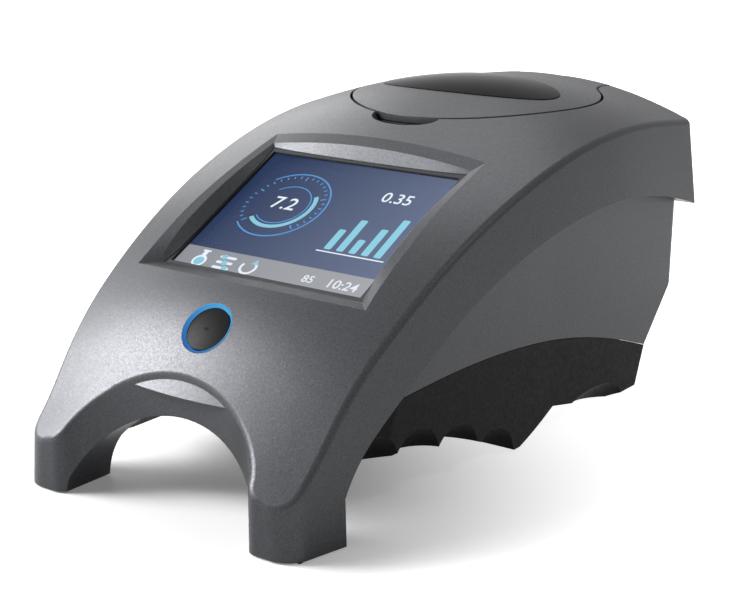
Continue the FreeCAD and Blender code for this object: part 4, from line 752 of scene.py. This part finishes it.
    def arc(self, name: str, centre: Place, radius: float, width: float, start: float, sweep: float,
            ink: bpy.types.Material, layer: int = 1) -> bpy.types.Object:
        """A stretch of a flat ring.

        Args:
            name: the piece's name.
            centre: the ring's middle in millimetres.
            radius: its middle radius in millimetres.
            width: its width in millimetres.
            start: the angle where it starts, in degrees from the right.
            sweep: the angle that it covers, in degrees.
            ink: its material.
            layer: how many films lie below it.

        Returns:
            The finished piece.
        """
        bpy.ops.object.select_all(action="DESELECT")
        bpy.ops.mesh.primitive_plane_add(size=1)
        piece = named(name)
        mesh = piece.data
        bpy.ops.object.mode_set(mode="EDIT")
        bpy.ops.mesh.select_all(action="DESELECT")
        bpy.ops.object.mode_set(mode="OBJECT")
        for vertex in mesh.vertices:
            vertex.select = vertex.co.y > 0
        bpy.ops.object.mode_set(mode="EDIT")
        bpy.ops.mesh.delete(type="VERT")
        bpy.ops.object.mode_set(mode="OBJECT")
        turn = math.radians(start)
        edge = sorted(mesh.vertices, key=lambda v: v.co.x)
        for vertex, reach in zip(edge, (radius - width / 2, radius + width / 2)):
            vertex.co = (reach * MM * math.cos(turn), reach * MM * math.sin(turn), 0)
        steps = max(2, round(abs(sweep) / self.arc_step_deg))
        bpy.ops.object.mode_set(mode="EDIT")
        bpy.ops.mesh.select_all(action="SELECT")
        bpy.ops.mesh.spin(steps=steps, angle=math.radians(sweep), center=(0, 0, 0), axis=(0, 0, 1))
        bpy.ops.mesh.select_all(action="SELECT")
        bpy.ops.mesh.remove_doubles(threshold=self.merge_mm * MM)
        bpy.ops.mesh.normals_make_consistent(inside=False)
        bpy.ops.object.mode_set(mode="OBJECT")
        if mesh.polygons[0].normal.z < 0:
            mesh.flip_normals()
        piece.location = (centre[0] * MM, centre[1] * MM, 0)
        return self.finish(piece, ink, layer)

    def numeral(self, name: str, digits: str, place: Place, height: float,
                ink: bpy.types.Material, layer: int = 1) -> bpy.types.Object:
        """Plain digits.

        Args:
            name: the piece's name.
            digits: what they show.
            place: the middle of the text in millimetres.
            height: the digits' height in millimetres.
            ink: its material.
            layer: how many films lie below it.

        Returns:
            The finished piece.
        """
        bpy.ops.object.select_all(action="DESELECT")
        bpy.ops.object.text_add()
        piece = bpy.context.active_object
        piece.data.body = digits
        piece.data.align_x = "CENTER"
        piece.data.align_y = "CENTER"
        piece.data.size = height * MM / self.cap_share
        piece.data.resolution_u = 4
        piece.data.offset = height * MM * self.digit_weight
        bpy.ops.object.convert(target="MESH")
        piece = named(name)
        piece.location = (place[0] * MM, place[1] * MM, 0)
        return self.finish(piece, ink, layer)

    def blob(self, name: str, centre: Place, radius: float, ink: bpy.types.Material,
             sides: int, layer: int) -> bpy.types.Object:
        """A filled disc or a regular polygon.

        Args:
            name: the piece's name.
            centre: its middle in millimetres.
            radius: its radius in millimetres.
            ink: its material.
            sides: its number of corners.
            layer: how many films lie below it.

        Returns:
            The finished piece.
        """
        bpy.ops.object.select_all(action="DESELECT")
        bpy.ops.mesh.primitive_circle_add(vertices=sides, radius=radius * MM, fill_type="NGON",
                                          location=(centre[0] * MM, centre[1] * MM, 0))
        return self.finish(named(name), ink, layer)

    def joined(self, name: str, pieces: list[bpy.types.Object]) -> bpy.types.Object:
        """Joins pieces of one ink into one.

        Args:
            name: the joined piece's name.
            pieces: what is joined.

        Returns:
            The joined piece.
        """
        only_selected(pieces[0])
        for piece in pieces[1:]:
            piece.select_set(True)
        bpy.ops.object.join()
        return named(name)

    def background(self) -> None:
        """The dark field and the grey bar along the bottom, both lighter toward the right by a painted
        reflection of the cover glass.
        """
        width = self.window_mm[0] + 2 * self.hidden_edge_mm
        height = self.window_mm[1] + 2 * self.hidden_edge_mm
        self.tile("picture_field", (0, 0), (width, height), 0, self.back_ink, 0)
        bar = self.bar_height_mm + self.hidden_edge_mm
        self.tile("picture_bar", (0, (bar - height) / 2), (width, bar), 0, self.grey_ink)

    def dial(self) -> None:
        """A round gauge with marks, a filled stretch and a reading."""
        open_end = -90 - self.dial_gap_deg / 2
        sweep = -(360 - self.dial_gap_deg)
        middle, radius = self.dial_centre_mm, self.dial_radius_mm
        inner = radius - self.dial_inner_in_mm
        ink = self.line_ink
        lines = [self.arc("dial_rim", middle, radius, self.dial_line_mm, open_end, sweep, ink),
                 self.arc("dial_inner", middle, inner, self.dial_inner_line_mm, open_end, sweep, ink)]
        for k in range(self.dial_marks + 1):
            turn = math.radians(open_end + sweep * k / self.dial_marks)
            long_mark = k % self.dial_long_every == 0
            reach = radius - (self.dial_long_in_mm if long_mark else self.dial_short_in_mm)
            place = (middle[0] + reach * math.cos(turn), middle[1] + reach * math.sin(turn))
            size = self.dial_long_mm if long_mark else self.dial_short_mm
            lines.append(self.mark(f"dial_mark_{k}", place, size, turn))
        self.joined("dial_lines", lines)
        self.arc("dial_level", middle, radius - self.dial_level_in_mm, self.dial_level_mm, open_end,
                 sweep * self.dial_reading, self.aqua_ink)
        self.numeral("dial_number", "7.2", (middle[0], middle[1] + self.dial_number_up_mm),
                     self.dial_number_mm, self.pale_ink)

    def mark(self, name: str, place: Place, size: Place, turn: float) -> bpy.types.Object:
        """A short stroke of the gauge.

        Args:
            name: the piece's name.
            place: its middle in millimetres.
            size: its length and width in millimetres.
            turn: its direction in radians.

        Returns:
            The finished piece.
        """
        bpy.ops.object.select_all(action="DESELECT")
        bpy.ops.mesh.primitive_plane_add(size=1)
        piece = named(name)
        piece.scale = (size[0] * MM, size[1] * MM, 1)
        piece.rotation_euler = (0, 0, turn)
        piece.location = (place[0] * MM, place[1] * MM, 0)
        return self.finish(piece, self.line_ink, 1)

    def columns(self) -> None:
        """A small chart of five columns with a number over it."""
        foot = self.column_base_mm
        bars = []
        for k, height in enumerate(self.column_heights_mm):
            centre = (self.column_left_mm + k * self.column_pitch_mm, foot + height / 2)
            size = (self.column_width_mm, height)
            bars.append(self.tile(f"column_{k}", centre, size, self.column_corner_mm, self.aqua_ink))
        self.joined("chart_columns", bars)
        width = self.column_pitch_mm * len(self.column_heights_mm)
        middle = self.column_left_mm + width / 2 - self.column_pitch_mm / 2
        self.tile("chart_base", (middle, foot - self.base_line_down_mm), (width + 2, self.base_line_mm), 0,
                  self.pale_ink)
        self.numeral("chart_number", "0.35", (middle, foot + self.chart_number_up_mm),
                     self.chart_number_mm, self.pale_ink)

    def bar_numbers(self, v: float) -> None:
        """The two numbers in the grey bar.

        Args:
            v: the height of the bar's middle line in the picture.
        """
        self.numeral("bar_number", "10:24", (self.clock_u_mm, v), self.clock_number_mm, self.pale_ink, 2)
        self.numeral("bar_level", "85", (self.level_u_mm, v), self.level_number_mm, self.pale_ink, 2)

    def flask_mark(self, v: float) -> None:
        """A small round flask with a level in it.

        Args:
            v: the height of the bar's middle line in the picture.
        """
        u = self.flask_u_mm
        bulb, neck, lip = v - self.flask_bulb_down_mm, v + self.flask_neck_up_mm, v + self.flask_lip_up_mm
        flask = [self.blob("flask_bulb", (u, bulb), self.flask_bulb_mm, self.pale_ink, 24, 2),
                 self.tile("flask_neck", (u, neck), self.flask_neck_mm, 0, self.pale_ink, 2),
                 self.tile("flask_lip", (u, lip), self.flask_lip_mm, 0, self.pale_ink, 2)]
        self.joined("flask_mark", flask)
        fill = v - self.flask_fill_down_mm
        self.blob("flask_fill", (u, fill), self.flask_fill_mm, self.aqua_ink, 24, 3)

    def list_mark(self, v: float) -> None:
        """Three rods with a bead on each.

        Args:
            v: the height of the bar's middle line in the picture.
        """
        rows = [v + self.list_pitch_mm * (1 - k) for k in range(3)]
        rods = []
        for k, row in enumerate(rows):
            place = (self.list_u_mm, row)
            rods.append(self.tile(f"list_rod_{k}", place, self.list_rod_mm, self.list_rod_corner_mm,
                                  self.pale_ink, 2))
        self.joined("list_mark", rods)
        beads = []
        for k, row in enumerate(rows):
            place = (self.list_u_mm + self.list_bead_step_mm * (k - 1), row)
            beads.append(self.blob(f"list_bead_{k}", place, self.list_bead_mm, self.aqua_ink, 20, 3))
        self.joined("list_beads", beads)

    def turn_mark(self, v: float) -> None:
        """An open ring with a three-sided head.

        Args:
            v: the height of the bar's middle line in the picture.
        """
        u = self.turn_u_mm
        self.arc("turn_mark", (u, v), self.turn_radius_mm, self.turn_line_mm, self.turn_from_deg,
                 self.turn_sweep_deg, self.pale_ink, 2)
        head = (u + self.turn_head_at_mm[0], v + self.turn_head_at_mm[1])
        self.blob("turn_head", head, self.turn_head_mm, self.aqua_ink, 3, 3)

    def bar_marks(self) -> None:
        """Numbers and three plain symbols in the grey bar."""
        v = -self.half[1] + self.bar_height_mm / 2
        self.bar_numbers(v)
        self.flask_mark(v)
        self.list_mark(v)
        self.turn_mark(v)

    def build(self) -> None:
        """Makes the whole picture."""
        self.background()
        self.dial()
        self.columns()
        self.bar_marks()


@dataclass(frozen=True)
class Lamp:
    """One soft square lamp: the way to it from the object, its side and its power in watts."""

    name: str
    way: tuple[float, float, float]
    size: float
    power: float


LAMPS = (
    Lamp("key_lamp", (-0.75, -0.45, 0.45), 0.4, 10.8),
    Lamp("high_lamp", (-0.60, -0.50, 0.62), 0.4, 3.5),
    Lamp("low_lamp", (-0.93, -0.12, 0.35), 0.5, 2.4),
    Lamp("rear_lamp", (-0.75, 0.50, 0.42), 0.4, 1.6),
    Lamp("top_lamp", (-0.30, 0.45, 0.80), 0.4, 1.2),
    Lamp("rim_lamp", (0.64, 0.25, 0.74), 0.15, 0.4),
)


@dataclass
class Studio:
    """The camera at the photograph's place, a pale floor and soft lamps."""

    camera_place: Vector = Vector((0.3093, -0.4229, 0.1896))
    camera_tilt_deg: float = 73.99
    camera_turn_deg: float = 36.523
    focal_pixels: float = 1674.77
    sensor_mm: float = 36.0
    floor_size: float = 6.0
    ambient: float = 0.03
    lamp_reach: float = 1.0
    floor_bounce: float = 0.25
    floor_seen: float = 0.95
    lift_middle: tuple[float, float, float] = (-0.03, -0.095, 0.0)
    lift_near: float = 0.17
    lift_far: float = 1.0
    lift_from: float = 0.05
    lift_to: float = 0.17

    def camera(self) -> None:
        """Makes the camera."""
        lens = bpy.data.cameras.new("camera")
        lens.sensor_width = self.sensor_mm
        lens.lens = self.focal_pixels * self.sensor_mm / PHOTO_WIDTH
        lens.clip_start = 0.01
        lens.clip_end = 100.0
        holder = bpy.data.objects.new("camera", lens)
        holder.location = self.camera_place
        holder.rotation_euler = (math.radians(self.camera_tilt_deg), 0, math.radians(self.camera_turn_deg))
        bpy.context.scene.collection.objects.link(holder)
        bpy.context.scene.camera = holder

    def seen_share(self, nodes: bpy.types.Nodes, links: bpy.types.NodeLinks) -> Socket:
        """A value of 1 for what the camera sees, straight, by reflection or through glass.

        Args:
            nodes: the nodes of the tree.
            links: the links of the tree.

        Returns:
            The socket of the value.
        """
        path = nodes.new("ShaderNodeLightPath")
        first = nodes.new("ShaderNodeMath")
        first.operation = "MAXIMUM"
        links.new(path.outputs["Is Camera Ray"], first.inputs[0])
        links.new(path.outputs["Is Glossy Ray"], first.inputs[1])
        second = nodes.new("ShaderNodeMath")
        second.operation = "MAXIMUM"
        links.new(first.outputs[0], second.inputs[0])
        links.new(path.outputs["Is Transmission Ray"], second.inputs[1])
        return second.outputs[0]

    def world(self) -> None:
        """Makes a white surround that lights the object softly."""
        world = bpy.data.worlds.new("surround")
        world.use_nodes = True
        bpy.context.scene.world = world
        nodes, links = world.node_tree.nodes, world.node_tree.links
        nodes.clear()
        light, white = nodes.new("ShaderNodeBackground"), nodes.new("ShaderNodeBackground")
        light.inputs["Strength"].default_value = self.ambient
        white.inputs["Strength"].default_value = 1.0
        mix, output = nodes.new("ShaderNodeMixShader"), nodes.new("ShaderNodeOutputWorld")
        links.new(self.seen_share(nodes, links), mix.inputs["Fac"])
        links.new(light.outputs["Background"], mix.inputs[1])
        links.new(white.outputs["Background"], mix.inputs[2])
        links.new(mix.outputs["Shader"], output.inputs["Surface"])

    def floor(self) -> None:
        """Makes the pale floor, which keeps the object's shadow and is white further out."""
        bpy.ops.object.select_all(action="DESELECT")
        bpy.ops.mesh.primitive_plane_add(size=self.floor_size)
        floor = named("floor")
        material = bpy.data.materials.new("floor_white")
        material.use_nodes = True
        nodes, links = material.node_tree.nodes, material.node_tree.links
        nodes.clear()
        matt, bounce = nodes.new("ShaderNodeBsdfDiffuse"), nodes.new("ShaderNodeBsdfDiffuse")
        matt.inputs["Color"].default_value = (self.floor_seen,) * 3 + (1,)
        bounce.inputs["Color"].default_value = (self.floor_bounce,) * 3 + (1,)
        lift = nodes.new("ShaderNodeEmission")
        place, reach = nodes.new("ShaderNodeTexCoord"), nodes.new("ShaderNodeVectorMath")
        reach.operation = "DISTANCE"
        reach.inputs[1].default_value = self.lift_middle
        spread = nodes.new("ShaderNodeMapRange")
        spread.interpolation_type = "SMOOTHSTEP"
        for name, value in (("From Min", self.lift_from), ("From Max", self.lift_to),
                            ("To Min", self.lift_near), ("To Max", self.lift_far)):
            spread.inputs[name].default_value = value
        links.new(place.outputs["Object"], reach.inputs[0])
        links.new(reach.outputs["Value"], spread.inputs["Value"])
        links.new(spread.outputs["Result"], lift.inputs["Strength"])
        add, mix = nodes.new("ShaderNodeAddShader"), nodes.new("ShaderNodeMixShader")
        output = nodes.new("ShaderNodeOutputMaterial")
        links.new(matt.outputs["BSDF"], add.inputs[0])
        links.new(lift.outputs["Emission"], add.inputs[1])
        links.new(self.seen_share(nodes, links), mix.inputs["Fac"])
        links.new(bounce.outputs["BSDF"], mix.inputs[1])
        links.new(add.outputs["Shader"], mix.inputs[2])
        links.new(mix.outputs["Shader"], output.inputs["Surface"])
        floor.data.materials.append(material)

    def lamp(self, lamp: Lamp) -> None:
        """Makes one lamp that points at the object.

        Args:
            lamp: what it is like and where it stands.
        """
        data = bpy.data.lights.new(lamp.name, "AREA")
        data.size = lamp.size
        data.energy = lamp.power
        way = Vector(lamp.way)
        holder = bpy.data.objects.new(lamp.name, data)
        holder.location = (CAD_BOX[0] + CAD_BOX[1]) / 2 + way.normalized() * self.lamp_reach
        holder.rotation_euler = (-way).to_track_quat("-Z", "Y").to_euler()
        bpy.context.scene.collection.objects.link(holder)

    def build(self) -> None:
        """Makes the studio."""
        self.camera()
        self.world()
        self.floor()
        for lamp in LAMPS:
            self.lamp(lamp)
        bpy.context.scene.view_settings.view_transform = "Standard"


def main() -> None:
    """Builds the dressing, the picture and the studio."""
    logging.basicConfig(level=logging.INFO, format="%(name)s: %(message)s")
    Dressing().build()
    HousingShell().build()
    Picture().build()
    Studio().build()


if __name__ == "__main__":
    main()
